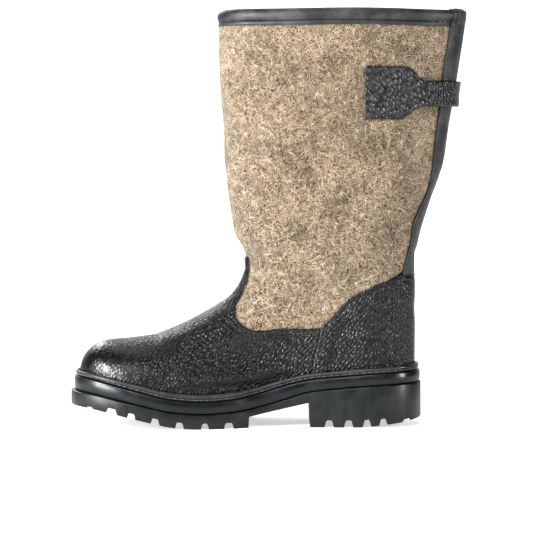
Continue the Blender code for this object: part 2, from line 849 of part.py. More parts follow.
def build_counter(parts, cutters):
    """Leather heel cover with a curved front edge and a level top at the back."""
    back = SOLE_LENGTH
    below = -SOLE_LENGTH / 10
    edge = refined([edge_corner(point) for point in COUNTER_EDGE])
    high = COUNTER_TOP * INSTEP_HEIGHT
    corners = [(edge[0][0], below)] + edge + [(back, high), (back, below)]
    tool = add_cutter(side_prism("counter_cutter", corners), cutters)
    loops = [loop for loop, _ in foot_part() + shaft_part()[:2]]
    return overlay("counter", loops, COUNTER_LEATHER, "leather", parts, tool)


def build_back_strip(parts, cutters):
    """Leather strip over the back seam, from the counter to the binding."""
    low = COUNTER_TOP * INSTEP_HEIGHT + GAP
    high = BOOT_HEIGHT - TAPE_DEPTH - GAP
    line = []
    for point in STRIP_EDGE:
        z = low + point.high * (high - low)
        _, last, _ = shaft_values(z)
        line.append((last - point.reach * STRIP_REACH, z))
    back = SOLE_LENGTH
    corners = refined(line) + [(back, high), (back, low)]
    tool = add_cutter(side_prism("strip_cutter", corners), cutters)
    loops = [loop for loop, _ in foot_part()[-2:] + shaft_part()[:-2]]
    top = [shaft_point(angle, BOOT_HEIGHT - TAPE_DEPTH / 2) for angle in around()]
    return overlay("back_strip", loops + [top], STRIP_LEATHER, "strip_leather", parts, tool)


def build_collar_binding(parts):
    """Tape folded over the collar's edge, with a rounded top."""
    leg = TAPE_PROUD - TAPE_THICKNESS
    inner = GAP - leg + EDGE_WALL + FIT
    section = (
        (TAPE_PROUD, TAPE_DEPTH),
        (TAPE_PROUD, 1.3 * TAPE_THICKNESS),
        (TAPE_PROUD - 0.4 * TAPE_THICKNESS, 0.35 * TAPE_THICKNESS),
        (TAPE_PROUD - 1.2 * TAPE_THICKNESS, 0.0),
        (-inner, 0.0),
        (-inner - 0.7 * TAPE_THICKNESS, 0.35 * TAPE_THICKNESS),
        (-inner - TAPE_THICKNESS, 1.3 * TAPE_THICKNESS),
        (-inner - TAPE_THICKNESS, TAPE_DEPTH),
        (-inner, TAPE_DEPTH),
        (-inner, TAPE_THICKNESS),
        (leg, TAPE_THICKNESS),
        (leg, TAPE_DEPTH),
    )
    loops = []
    for outward, drop in section:
        z = BOOT_HEIGHT - drop
        loops.append([shaft_point(angle, z, outward) for angle in around()])
    return add_part(ring("collar_binding", loops), parts, "tape")


def shaft_angle(x, z):
    """The angle of the inner side at which the shaft's wall reaches a place along X."""
    first, last, _ = shaft_values(z)
    return math.acos(1 - 2 * (x - first) / (last - first))


def eased(share):
    """A smooth step from 0 to 1."""
    held = min(max(share, 0.0), 1.0)
    return held * held * (3 - 2 * held)


def strap_column(share):
    """Outward distance and half height of the strap at a share of the way to the back, 0 to 1."""
    _, last, _ = shaft_values(STRAP_LEVEL)
    start = shaft_angle(last - PATCH_FROM_BACK, STRAP_LEVEL)
    fold = shaft_angle(last - PATCH_FROM_BACK + PATCH_LENGTH, STRAP_LEVEL)
    past_patch = share - (fold - start) / (math.pi - start)
    half = PATCH_HEIGHT / 2 + (STRAP_WIDTH - PATCH_HEIGHT) / 2 * eased(past_patch / STRAP_NECK)
    outward = OVERLAY_GAP + (STRAP_LIFT - OVERLAY_GAP) * eased(past_patch / STRAP_CLIMB)
    return outward, half


def strap_angle(share, z):
    """The inner side's angle at a share of the way from the patch's front to the back."""
    _, level_last, _ = shaft_values(STRAP_LEVEL)
    _, last, _ = shaft_values(z)
    upright = shaft_angle(level_last - PATCH_FROM_BACK, z)
    leaning = shaft_angle(last - PATCH_FROM_BACK, z)
    start = upright + (leaning - upright) * share
    return start + (math.pi - start) * share


def build_strap(parts):
    """A patch on each side of the shaft and the band that joins them round the back."""
    shares = [index / STRAP_COLUMNS for index in range(STRAP_COLUMNS + 1)]
    shares += shares[-2::-1]
    shape = bmesh.new()
    columns = []
    for number, share in enumerate(shares):
        outward, half = strap_column(share)
        column = []
        for row in range(STRAP_ROWS + 1):
            z = STRAP_LEVEL + half * (2 * row / STRAP_ROWS - 1)
            angle = strap_angle(share, z)
            if number > STRAP_COLUMNS:
                angle = 2 * math.pi - angle
            column.append(shape.verts.new(shaft_point(angle, z, outward)))
        columns.append(column)
    for here, there in zip(columns, columns[1:]):
        for row in range(STRAP_ROWS):
            shape.faces.new((here[row], there[row], there[row + 1], here[row + 1]))
    mesh = bpy.data.meshes.new("strap")
    shape.to_mesh(mesh)
    shape.free()
    strap = bpy.data.objects.new("strap", mesh)
    thicken(strap, STRAP_LEATHER, outward=True)
    return add_part(strap, parts, "strap_leather")


def place_over_origin(pieces):
    """Carries the boot on an empty, so that the origin lies under the middle of its outline."""
    bpy.context.view_layer.update()
    graph = bpy.context.evaluated_depsgraph_get()
    corners = []
    for piece in pieces:
        mesh = piece.evaluated_get(graph).to_mesh()
        corners += [vertex.co.copy() for vertex in mesh.vertices]
        piece.evaluated_get(graph).to_mesh_clear()
    low = Vector([min(corner[axis] for corner in corners) for axis in range(3)])
    high = Vector([max(corner[axis] for corner in corners) for axis in range(3)])
    stand = bpy.data.objects.new("stand", None)
    bpy.context.scene.collection.objects.link(stand)
    stand.location = (-(low.x + high.x) / 2, -(low.y + high.y) / 2, -low.z)
    return stand


def main():
    """Builds the boot."""
    for thing in list(bpy.data.objects):
        bpy.data.objects.remove(thing, do_unlink=True)
    parts = make_collection("felt_boot")
    cutters = make_collection("cutters", shown=False)
    pieces = [
        build_outsole(parts, cutters),
        build_midsole(parts),
        build_welt(parts),
        build_insole(parts),
        build_upper(parts),
        build_vamp(parts, cutters),
        build_counter(parts, cutters),
        build_back_strip(parts, cutters),
        build_collar_binding(parts),
        build_strap(parts),
    ]
    stand = place_over_origin(pieces)
    for thing in list(parts.objects) + list(cutters.all_objects):
        thing.parent = stand


main()
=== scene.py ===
"""Dresses the felt-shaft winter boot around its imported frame.

The toe points to -X, the inner side of the foot to -Y and the shaft to +Z. Lengths are in metres.
A place on the upper is given by an angle, 0 at the toe, a quarter turn at the inner side and a half
at the heel, and by a level, which counts the loops of the last from its feather edge to the collar.
"""

import logging
import math
from collections.abc import Callable, Iterable, Sequence
from dataclasses import dataclass, field, replace
from enum import Enum
from functools import cached_property

import bmesh
import bpy
import numpy as np
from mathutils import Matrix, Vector


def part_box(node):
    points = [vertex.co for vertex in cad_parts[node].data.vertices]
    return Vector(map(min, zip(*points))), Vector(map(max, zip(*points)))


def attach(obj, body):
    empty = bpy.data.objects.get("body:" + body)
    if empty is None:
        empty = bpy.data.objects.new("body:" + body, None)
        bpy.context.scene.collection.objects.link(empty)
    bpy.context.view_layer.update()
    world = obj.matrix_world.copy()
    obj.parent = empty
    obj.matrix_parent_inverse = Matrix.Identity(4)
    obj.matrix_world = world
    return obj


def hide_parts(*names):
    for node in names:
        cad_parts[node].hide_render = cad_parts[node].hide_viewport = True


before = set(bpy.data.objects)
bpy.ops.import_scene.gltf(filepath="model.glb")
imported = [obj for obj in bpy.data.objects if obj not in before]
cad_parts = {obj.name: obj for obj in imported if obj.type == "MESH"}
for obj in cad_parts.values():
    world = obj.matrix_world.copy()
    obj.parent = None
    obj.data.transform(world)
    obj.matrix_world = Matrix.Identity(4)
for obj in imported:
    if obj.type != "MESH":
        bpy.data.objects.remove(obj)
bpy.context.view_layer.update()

LOG = logging.getLogger("felt_boot")
MM = 0.001
TURN = 2 * math.pi
Array = np.ndarray
Colour = tuple[float, float, float]


@dataclass(frozen=True)
class Curve:
    """A smooth curve through chosen pairs that never leaves the range of its neighbours' values."""

    places: Array
    values: Array

    @classmethod
    def through(cls, pairs: Iterable[tuple[float, float]]) -> "Curve":
        """The curve through (place, value) pairs in rising order."""
        table = np.array(list(pairs), dtype=float)
        return cls(table[:, 0], table[:, 1])

    @cached_property
    def slopes(self) -> Array:
        """Slope at each pair, level where the values turn."""
        steps = np.diff(self.values) / np.diff(self.places)
        before, after = steps[:-1], steps[1:]
        total = np.where(before + after == 0, 1.0, before + after)
        inner = np.where(before * after > 0, 2 * before * after / total, 0.0)
        return np.concatenate([steps[:1], inner, steps[-1:]])

    def at(self, place: Array) -> Array:
        """Values at many places, level past both ends.

        Args:
            place: Where the curve is read.

        Returns:
            One value for each place.
        """
        held = np.clip(place, self.places[0], self.places[-1])
        low = np.clip(np.searchsorted(self.places, held, side="right") - 1, 0, len(self.places) - 2)
        span = self.places[low + 1] - self.places[low]
        t = (held - self.places[low]) / span
        start, end = self.slopes[low] * span, self.slopes[low + 1] * span
        rise = self.values[low + 1] - self.values[low]
        return self.values[low] + t * start + t**2 * (3 * rise - 2 * start - end) + t**3 * (
            start + end - 2 * rise
        )


@dataclass(frozen=True)
class Inset:
    """How far an outline lies inside the outsole's own."""

    toe: float
    side: float
    heel: float

    def by(self, more: float) -> "Inset":
        """The outline that lies this much further in."""
        return Inset(self.toe + more, self.side + more, self.heel + more)


@dataclass(frozen=True)
class Sole:
    """The sole's outline and heights, in the frame of its own middle."""

    length: float = 290 * MM
    ball_width: float = 108 * MM
    waist_width: float = 78 * MM
    heel_width: float = 77 * MM
    outsole_thickness: float = 12 * MM
    midsole_thickness: float = 10 * MM
    welt_height: float = 5.5 * MM
    toe_spring: float = 18 * MM
    heel_lift: float = 24 * MM
    heel_bevel: float = 6.5 * MM
    bevel_from: float = 0.80
    end_power: float = 2.2
    toe_round: float = 0.25
    heel_round: float = 0.135
    along: tuple[float, ...] = (
        0.0, 0.06, 0.12, 0.20, 0.30, 0.38, 0.46, 0.52, 0.60, 0.68, 0.76, 0.86, 1.0,
    )
    halves_of_ball: tuple[float, ...] = (0.470, 0.475, 0.485, 0.500, 0.500, 0.487, 0.448)
    halves_of_waist: tuple[float, ...] = (0.535, 0.500, 0.490)
    halves_of_heel: tuple[float, ...] = (0.495, 0.500, 0.500)
    centres: tuple[float, ...] = (
        -0.085, -0.078, -0.066, -0.046, -0.020, 0.004, 0.022, 0.032, 0.034, 0.024, 0.010, 0.0, 0.0,
    )
    ridges: tuple[float, ...] = (
        -0.080, -0.078, -0.074, -0.068, -0.058, -0.046, -0.032, -0.020, -0.008, 0.0, 0.0, 0.0, 0.0,
    )
    springs: tuple[float, ...] = (1.0, 0.91, 0.73, 0.44, 0.09, 0, 0, 0, 0, 0, 0, 0, 0)
    lifts: tuple[float, ...] = (0, 0, 0, 0, 0, 0, 0.04, 0.15, 0.41, 0.70, 0.82, 0.92, 1.0)
    midsoles: tuple[float, ...] = (
        1.20, 1.20, 1.15, 1.08, 1.02, 1.0, 1.02, 1.08, 1.14, 1.0, 0.96, 0.96, 1.0,
    )
    welts: tuple[float, ...] = (
        0.80, 0.85, 0.90, 1.0, 1.05, 1.10, 1.10, 1.05, 1.0, 0.95, 0.95, 0.95, 1.0,
    )

    def x(self, along: float | Array) -> float | Array:
        """A share of the sole's length as a place along X."""
        return (along - 0.5) * self.length

    def column(self, values: Sequence[float], unit: float = 1.0) -> Curve:
        """A curve along X through one value for each station."""
        return Curve.through([(self.x(a), v * unit) for a, v in zip(self.along, values)])

    @cached_property
    def half_curve(self) -> Curve:
        """Half the outsole's width before its ends are rounded."""
        halves = [share * self.ball_width for share in self.halves_of_ball]
        halves += [share * self.waist_width for share in self.halves_of_waist]
        halves += [share * self.heel_width for share in self.halves_of_heel]
        return self.column(halves)

    @cached_property
    def centre_curve(self) -> Curve:
        """Where the middle of the outline lies."""
        return self.column(self.centres, self.ball_width)

    @cached_property
    def ridge_curve(self) -> Curve:
        """Where the crest of the upper lies."""
        return self.column(self.ridges, self.ball_width)

    @cached_property
    def spring_curve(self) -> Curve:
        """How far the toe springs off the floor."""
        return self.column(self.springs, self.toe_spring)

    @cached_property
    def lift_curve(self) -> Curve:
        """How far the heel lifts the foot."""
        return self.column(self.lifts, self.heel_lift)

    @cached_property
    def midsole_curve(self) -> Curve:
        """Thickness of the midsole."""
        return self.column(self.midsoles, self.midsole_thickness)

    @cached_property
    def welt_curve(self) -> Curve:
        """Height of the welt."""
        return self.column(self.welts, self.welt_height)

    def tread_z(self, x: Array) -> Array:
        """Height of the lugs' faces above the floor."""
        reach = self.x(1.0) - self.x(self.bevel_from)
        past = np.maximum(0.0, (x - self.x(self.bevel_from)) / reach)
        return self.spring_curve.at(x) + self.heel_bevel * past**1.5

    def groove_z(self, x: Array) -> Array:
        """Height of the groove between outsole and midsole."""
        return self.outsole_thickness + self.spring_curve.at(x) + self.lift_curve.at(x)

    def seat_z(self, x: Array) -> Array:
        """Height of the midsole's top."""
        return self.groove_z(x) + self.midsole_curve.at(x)

    def rim_z(self, x: Array) -> Array:
        """Height of the welt's top."""
        return self.seat_z(x) + self.welt_curve.at(x)

    def ends(self, inset: Inset) -> tuple[float, float]:
        """First and last place along X of an outline."""
        return -self.length / 2 + inset.toe, self.length / 2 - inset.heel

    def half_width(self, x: Array, inset: Inset) -> Array:
        """Half the width of an outline, with its ends rounded.

        Args:
            x: Places along the sole.
            inset: Which outline.

        Returns:
            Half widths, one for each place.
        """
        first, last = self.ends(inset)
        half = self.half_curve.at(x) - inset.side
        for distance, reach in ((x - first, self.toe_round), (last - x, self.heel_round)):
            left = 1.0 - np.clip(distance / (reach * self.length), 0.0, 1.0)
            half = half * (1.0 - left**self.end_power) ** (1.0 / self.end_power)
        return half

    def outline(self, angle: Array, inset: Inset) -> tuple[Array, Array]:
        """An outline in plan.

        Args:
            angle: Angles round the sole.
            inset: Which outline.

        Returns:
            Its X and Y, one pair for each angle.
        """
        first, last = self.ends(inset)
        x = first + (last - first) * (1 - np.cos(angle)) / 2
        side = np.where(np.sin(angle) > 0, -1.0, 1.0)
        return x, self.centre_curve.at(x) + side * self.half_width(x, inset)


FELT_EDGE = Inset(9.0 * MM, 8.6 * MM, 7.6 * MM)


@dataclass(frozen=True)
class Last:
    """The outside of the felt, from its feather edge up the foot and the shaft to the collar."""

    sole: Sole = field(default_factory=Sole)
    instep_height: float = 128.5 * MM
    boot_height: float = 343 * MM
    collar_length: float = 203 * MM
    collar_width: float = 98 * MM
    ankle_width: float = 79 * MM
    seat_gap: float = 0.7 * MM
    crest_power: float = 2.3
    side_power: float = 0.52
    shaft_egg: float = 0.08
    bend_along: float = 0.5038
    fronts_x: tuple[float, ...] = (
        0.0393, 0.0528, 0.0738, 0.1003, 0.1641, 0.2259, 0.2876, 0.3493, 0.4103, 0.4621, 0.4903,
    )
    fronts_z: tuple[float, ...] = (
        0.433, 0.468, 0.512, 0.534, 0.541, 0.556, 0.602, 0.668, 0.745, 0.814, 0.912,
    )
    backs_z: tuple[float, ...] = (
        0.470, 0.521, 0.572, 0.620, 0.667, 0.714, 0.762, 0.809, 0.856, 0.904, 0.951,
    )
    sags: tuple[float, ...] = (0.85, 0.70, 0.55, 0.42, 0.30, 0.20, 0.12, 0.06, 0.03, 0, 0)
    rounds: tuple[float, ...] = (0, 0, 0, 0, 0, 0, 0, 0, 0.08, 0.28, 0.62)
    rises: tuple[float, ...] = (
        0.0, 0.055, 0.099, 0.134, 0.204, 0.286, 0.345, 0.423, 0.540, 0.677, 0.794, 0.946, 1.0,
    )
    forwards: tuple[float, ...] = (
        0, 0.022, 0.081, 0.149, 0.197, 0.234, 0.259, 0.284, 0.296, 0.333, 0.352, 0.358, 0.358,
    )
    backwards: tuple[float, ...] = (
        0, 0, 0.038, 0.062, 0.127, 0.214, 0.286, 0.361, 0.414, 0.489, 0.549, 0.621, 0.641,
    )
    wides: tuple[float, ...] = (
        0, -0.02, 0, 0.05, 0.15, 0.28, 0.38, 0.52, 0.70, 0.84, 0.93, 0.99, 1.0,
    )
    bend_level: float = 13.0
    shaft_levels: float = 10.0

    @property
    def top_level(self) -> float:
        """Level of the collar's top."""
        return self.bend_level + self.shaft_levels

    @cached_property
    def shift(self) -> Array:
        """From the sole's own middle to the row's origin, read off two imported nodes."""
        toe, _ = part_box("outsole")
        low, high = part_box("collar_binding")
        return np.array([toe[0] + self.sole.length / 2, (low[1] + high[1]) / 2, 0.0])

    def row(self, first: float, values: Sequence[float], last: float) -> Curve:
        """A soft curve over the foot's levels, from the welt's top to the bend."""
        held = np.array((first, *values, last))
        held = np.concatenate([[2 * held[0] - held[1]], held, [2 * held[-1] - held[-2]]])
        soft = (held[:-2] + 4 * held[1:-1] + held[2:]) / 6
        return Curve.through(enumerate(soft, 1))

    @cached_property
    def front_x_curve(self) -> Curve:
        """Where each loop starts on the crest, as a share of the sole's length."""
        first = self.sole.ends(FELT_EDGE)[0] / self.sole.length + 0.5
        return self.row(first, self.fronts_x, self.bend_along)

    @cached_property
    def front_z_curve(self) -> Curve:
        """Height of each loop on the crest."""
        rim = float(self.sole.rim_z(np.array(self.sole.ends(FELT_EDGE)[0])))
        heights = [share * self.instep_height for share in self.fronts_z]
        return self.row(rim, heights, self.instep_height)

    @cached_property
    def back_z_curve(self) -> Curve:
        """Height of each loop at the heel."""
        rim = float(self.sole.rim_z(np.array(self.sole.ends(FELT_EDGE)[1])))
        heights = [share * self.instep_height for share in self.backs_z]
        return self.row(rim, heights, self.instep_height)

    @cached_property
    def sag_curve(self) -> Curve:
        """Share of the rim's dip that each loop follows."""
        return self.row(1.0, self.sags, 0.0)

    @cached_property
    def round_curve(self) -> Curve:
        """Share of the shaft's round section in each loop."""
        return self.row(0.0, self.rounds, 1.0)

    @cached_property
    def crest(self) -> Curve:
        """Height of the crest along X, carried on steeply above the bend."""
        levels = np.linspace(1.0, self.bend_level, 121)
        pairs = list(zip(self.sole.x(self.front_x_curve.at(levels)), self.front_z_curve.at(levels)))
        beyond = self.sole.x(self.bend_along) + 0.25 * self.sole.length
        return Curve.through(pairs + [(beyond, 2.5 * self.instep_height)])

    def foot_place(self, angle: Array, level: Array) -> Array:
        """Places on the foot, in the sole's own frame."""
        held = np.clip(level, 1.0, self.bend_level)
        first = self.sole.x(self.front_x_curve.at(held))
        last = self.sole.ends(FELT_EDGE)[1]
        x = first + (last - first) * (1 - np.cos(angle)) / 2
        share = (x - first) / (last - first)
        rim_front = self.sole.rim_z(first)
        rim_back = self.sole.rim_z(np.full_like(x, last))
        dip = self.sole.rim_z(x) - (rim_front * (1 - share) + rim_back * share)
        z = self.front_z_curve.at(held) * (1 - share) + self.back_z_curve.at(held) * share
        z = z + self.sag_curve.at(held) * dip
        low = self.sole.rim_z(x)
        height = np.clip((z - low) / np.maximum(self.crest.at(x) - low, 1e-6), 0.0, 1.0)
        ridge = self.sole.ridge_curve.at(x)
        side = np.where(np.sin(angle) > 0, -1.0, 1.0)
        edge = self.sole.centre_curve.at(x) + side * self.sole.half_width(x, FELT_EDGE)
        y = ridge + (edge - ridge) * (1.0 - height**self.crest_power) ** self.side_power
        egg = -self.ankle_width / 2 * np.sin(angle) * (1 + self.shaft_egg * np.cos(angle))
        y = y + self.round_curve.at(held) * (egg - y)
        drop = np.clip(1.0 - level, 0.0, 1.0)
        z = z - drop * (self.sole.rim_z(x) - self.sole.seat_z(x) - self.seat_gap)
        return np.stack([x, y, z], axis=-1)

    def rise(self, z: Array) -> Array:
        """Share of the shaft's rise at a height."""
        return (z - self.instep_height) / (self.boot_height - self.instep_height)

    def shaft_level(self, z: Array) -> Array:
        """Level on the shaft at a height."""
        height = self.boot_height - self.instep_height
        return self.bend_level + self.shaft_levels * (z - self.instep_height) / height

    def shaft_ends(self, rise: Array) -> tuple[Array, Array, Array]:
        """First X, last X and half width of the shaft at a share of its rise."""
        heel = self.sole.ends(FELT_EDGE)[1]
        bend = self.sole.x(self.bend_along)
        extra = self.collar_length - (heel - bend)
        forward = Curve.through(zip(self.rises, self.forwards)).at(rise)
        backward = Curve.through(zip(self.rises, self.backwards)).at(rise)
        wide = Curve.through(zip(self.rises, self.wides)).at(rise)
        half = (self.ankle_width + (self.collar_width - self.ankle_width) * wide) / 2
        return bend - extra * forward, heel + extra * backward, half

    def shaft_place(self, angle: Array, level: Array) -> Array:
        """Places on the shaft, in the sole's own frame."""
        rise = (level - self.bend_level) / self.shaft_levels
        first, last, half = self.shaft_ends(np.maximum(rise, 0.0))
        x = first + (last - first) * (1 - np.cos(angle)) / 2
        y = -half * np.sin(angle) * (1 + self.shaft_egg * np.cos(angle))
        z = self.instep_height + rise * (self.boot_height - self.instep_height)
        return np.stack([x, y, z], axis=-1)

    def place(self, angle: Array, level: Array) -> Array:
        """Places on the felt, in the row's frame.

        Args:
            angle: Angles round the boot.
            level: Levels up the boot, of the same shape.

        Returns:
            Points, with X, Y and Z along the last axis.
        """
        angle, level = np.broadcast_arrays(np.asarray(angle, float), np.asarray(level, float))
        foot = self.foot_place(angle, level)
        shaft = self.shaft_place(angle, level)
        return np.where((level > self.bend_level)[..., None], shaft, foot) + self.shift

    def slopes(self, angle: Array, level: Array) -> tuple[Array, Array, Array]:
        """Change of place with angle and with level, and the outward normal."""
        step = 6e-3
        round_it = self.place(angle + step, level) - self.place(angle - step, level)
        low = np.maximum(level - 2 * step, 0.0)
        up_it = self.place(angle, level + 2 * step) - self.place(angle, low)
        up_it /= (level + 2 * step - low)[..., None]
        normal = np.cross(round_it, up_it)
        normal /= np.linalg.norm(normal, axis=-1, keepdims=True) + 1e-15
        return round_it / (2 * step), up_it, normal

    def skin(self, angle: Array, level: Array, outward: Array | float) -> Array:
        """Places at a distance outside the felt.

        Args:
            angle: Angles round the boot.
            level: Levels up the boot.
            outward: Distance from the felt, negative inside it.

        Returns:
            Points, with X, Y and Z along the last axis.
        """
        angle, level = np.broadcast_arrays(np.asarray(angle, float), np.asarray(level, float))
        _, _, normal = self.slopes(angle, level)
        return self.place(angle, level) + np.asarray(outward)[..., None] * normal

    def level_at(self, angle: Array, z: Array) -> Array:
        """The level at which each angle's line reaches a height, found by halving."""
        low, high = np.zeros_like(angle), np.full_like(angle, self.top_level)
        for _ in range(30):
            middle = (low + high) / 2
            below = self.place(angle, middle)[..., 2] < z
            low, high = np.where(below, middle, low), np.where(below, high, middle)
        return (low + high) / 2

    def settle(self, target: Array, angle: Array, level: Array, rounds: int = 4) -> tuple[Array, Array]:
        """The angle and level on the felt nearest to each target.

        Args:
            target: Points near the felt.
            angle: First guesses of their angles.
            level: First guesses of their levels.
            rounds: How often the guess is bettered.

        Returns:
            Angles and levels.
        """
        for _ in range(rounds):
            away = target - self.place(angle, level)
            along, up, _ = self.slopes(angle, level)
            aa, ab, bb = (along * along).sum(-1), (along * up).sum(-1), (up * up).sum(-1)
            ra, rb = (away * along).sum(-1), (away * up).sum(-1)
            whole = aa * bb - ab * ab + 1e-18
            angle = angle + np.clip((ra * bb - rb * ab) / whole, -0.2, 0.2)
            level = np.clip(level + np.clip((rb * aa - ra * ab) / whole, -0.8, 0.8), 0, self.top_level)
        return angle, level


class Graph:
    """A material's node tree under construction, its patterns read on Object coordinates."""

    def __init__(self, name: str, spread: float = 1.0) -> None:
        """Starts a material with its shader; spread says how irregular its cells are."""
        self.spread = spread
        self.material = bpy.data.materials.new(name)
        self.material.use_nodes = True
        self.tree = self.material.node_tree
        self.shader = self.tree.nodes["Principled BSDF"]
        self.where = self.tree.nodes.new("ShaderNodeTexCoord").outputs["Object"]

    def link(self, source: object, target: object) -> None:
        """Joins an output to an input, or sets the input to a plain value."""
        if isinstance(source, bpy.types.NodeSocket):
            self.tree.links.new(source, target)
        elif isinstance(source, tuple) and len(source) == 3 and target.type == "RGBA":
            target.default_value = (*source, 1.0)
        else:
            target.default_value = source

    def dressed(
        self, colour: object, rough: object, normal: object = None, level: float = 0.5,
        sheen: float = 0.0,
    ) -> bpy.types.Material:
        """The finished material.

        Args:
            colour: Base colour.
            rough: Roughness.
            normal: Relief, none by default.
            level: Strength of its shine.
            sheen: Strength of its soft edge light.

        Returns:
            The material.
        """
        sockets = {"Base Color": colour, "Roughness": rough, "Specular IOR Level": level}
        sockets["Sheen Weight"] = sheen
        if normal is not None:
            sockets["Normal"] = normal
        for name, value in sockets.items():
            self.link(value, self.shader.inputs[name])
        return self.material

    def node(self, kind: str, sockets: dict[str | int, object], **settings: object) -> bpy.types.Node:
        """A new node with its settings made and its inputs joined or set.

        Args:
            kind: The node's type, without its common beginning.
            sockets: An output or a plain value for each named or numbered input.
            settings: The node's own settings.

        Returns:
            The node.
        """
        node = self.tree.nodes.new("ShaderNode" + kind)
        for name, value in settings.items():
            setattr(node, name, value)
        for socket, value in sockets.items():
            self.link(value, node.inputs[socket])
        return node

    def mapped(self, scale: Colour, turn: Colour, source: object) -> object:
        """Coordinates turned, then stretched along the turned axes."""
        turned = self.node("Mapping", {"Rotation": turn, "Vector": source})
        return self.node("Mapping", {"Scale": scale, "Vector": turned.outputs[0]}).outputs[0]

    def noise(
        self, scale: float, detail: float = 3.0, rough: float = 0.55, bend: float = 0.0
    ) -> object:
        """A noise pattern of so many features per metre, octaves, their weight and distortion."""
        sockets = {"Scale": scale, "Detail": detail, "Roughness": rough, "Distortion": bend}
        return self.node("TexNoise", {"Vector": self.where, **sockets}).outputs["Fac"]

    def cells(self, scale: float, where: object, soft: float = 0.35) -> object:
        """Rounded cells per metre, 0 at their middles, with soft borders."""
        sockets = {"Vector": where, "Scale": scale, "Smoothness": soft, "Randomness": self.spread}
        return self.node("TexVoronoi", sockets, feature="SMOOTH_F1").outputs["Distance"]

    def creases(self, scale: float, where: object) -> object:
        """Distance to the nearest crease between cells per metre, 0 in the crease."""
        sockets = {"Vector": where, "Scale": scale, "Randomness": self.spread}
        return self.node("TexVoronoi", sockets, feature="DISTANCE_TO_EDGE").outputs["Distance"]

    def bent(self, amount: float, scale: float) -> object:
        """Coordinates pushed about by a noise, so that a pattern on them isn't regular."""
        push = self.node("TexNoise", {"Vector": self.where, "Scale": scale}).outputs["Color"]
        sockets = {0: push, 1: (2 * amount,) * 3, 2: self.where}
        return self.node("VectorMath", sockets, operation="MULTIPLY_ADD").outputs[0]

    def ramp(self, value: object, *stops: tuple[float, float | Colour]) -> object:
        """A value through a ramp of (place, shade) stops.

        Args:
            value: What is read.
            stops: Places along the ramp, each with a grey value or a colour.

        Returns:
            The colour socket.
        """
        node = self.node("ValToRGB", {0: value})
        steps = node.color_ramp.elements
        for number, (place, shade) in enumerate(stops):
            if number >= 2:
                steps.new(place)
            steps[number].position = place
            steps[number].color = (*(shade if isinstance(shade, tuple) else (shade,) * 3), 1)
        return node.outputs[0]

    def mix(self, share: object, first: object, second: object) -> object:
        """A colour between two colours."""
        return self.node("Mix", {"Factor": share, 6: first, 7: second}, data_type="RGBA").outputs[2]

    def sum(self, first: object, second: object, kind: str = "MULTIPLY") -> object:
        """Two values multiplied, or joined by another operation."""
        return self.node("Math", {0: first, 1: second}, operation=kind).outputs[0]

    def along(self, source: object) -> object:
        """The first coordinate of a vector."""
        return self.node("SeparateXYZ", {0: source}).outputs[0]

    def bump(self, height: object, depth: float, after: object = None, strength: float = 1.0) -> object:
        """A relief on the surface.

        Args:
            height: Pattern between 0 and 1.
            depth: What 1 stands for, in metres.
            after: Relief below this one.
            strength: How much of it shows.

        Returns:
            The normal socket.
        """
        sockets = {"Strength": strength, "Distance": depth, "Height": height}
        if after is not None:
            sockets["Normal"] = after
        return self.node("Bump", sockets).outputs[0]


def shade_of(red: int, green: int, blue: int) -> Colour:
    """A colour given on a screen's 0 to 255 scale, in linear light."""
    return tuple(
        value / 12.92 if value <= 0.04045 else ((value + 0.055) / 1.055) ** 2.4
        for value in (red / 255, green / 255, blue / 255)
    )


@dataclass(frozen=True)
class WoolFelt:
    """Heathered wool felt with curled fibres pressed into it."""

    name: str = "wool_felt"
    light: Colour = shade_of(180, 163, 141)
    middle: Colour = shade_of(94, 77, 58)
    dark: Colour = shade_of(26, 18, 11)
    blotch: float = 34.0
    mottle: float = 300.0
    fibre: float = 620.0
    relief: float = 0.9 * MM

    def material(self) -> bpy.types.Material:
        """Blotches, mottling and a fine curled fibre pattern, matt with a soft sheen."""
        graph = Graph(self.name)
        blotch = graph.ramp(graph.noise(self.blotch, 3.0), (0.40, 0.0), (0.66, 1.0))
        mottle = graph.ramp(graph.noise(self.mottle, 4.0, 0.62, 0.4), (0.42, 0.0), (0.58, 1.0))
        curled = graph.noise(self.fibre, 5.0, 0.72, 2.2)
        strands = graph.ramp(curled, (0.46, 0.0), (0.54, 1.0))
        ground = graph.mix(mottle, self.dark, self.middle)
        fibres = graph.mix(strands, ground, self.light)
        shaded = graph.mix(graph.sum(blotch, 0.42), fibres, self.dark)
        relief = graph.bump(curled, self.relief, strength=0.9)
        relief = graph.bump(mottle, 0.5 * self.relief, relief, 0.5)
        return graph.dressed(shaded, 0.95, relief, 0.15, 0.35)


@dataclass(frozen=True)
class WoolFibre:
    """Loose wool fibres, each with its own shade, read from the piece's UV map."""

    name: str = "wool_fibre"
    shades: tuple[tuple[float, Colour], ...] = (
        (0.0, shade_of(46, 33, 21)),
        (1 / 3, shade_of(102, 85, 66)),
        (0.5, shade_of(140, 124, 105)),
        (1.0, shade_of(222, 210, 192)),
    )

    def material(self) -> bpy.types.Material:
        """A shade picked by the strand's own place across the UV map."""
        graph = Graph(self.name)
        uv = graph.node("UVMap", {}, uv_map="strand")
        shade = graph.ramp(graph.along(uv.outputs[0]), *self.shades)
        return graph.dressed(shade, 0.8, level=0.2)


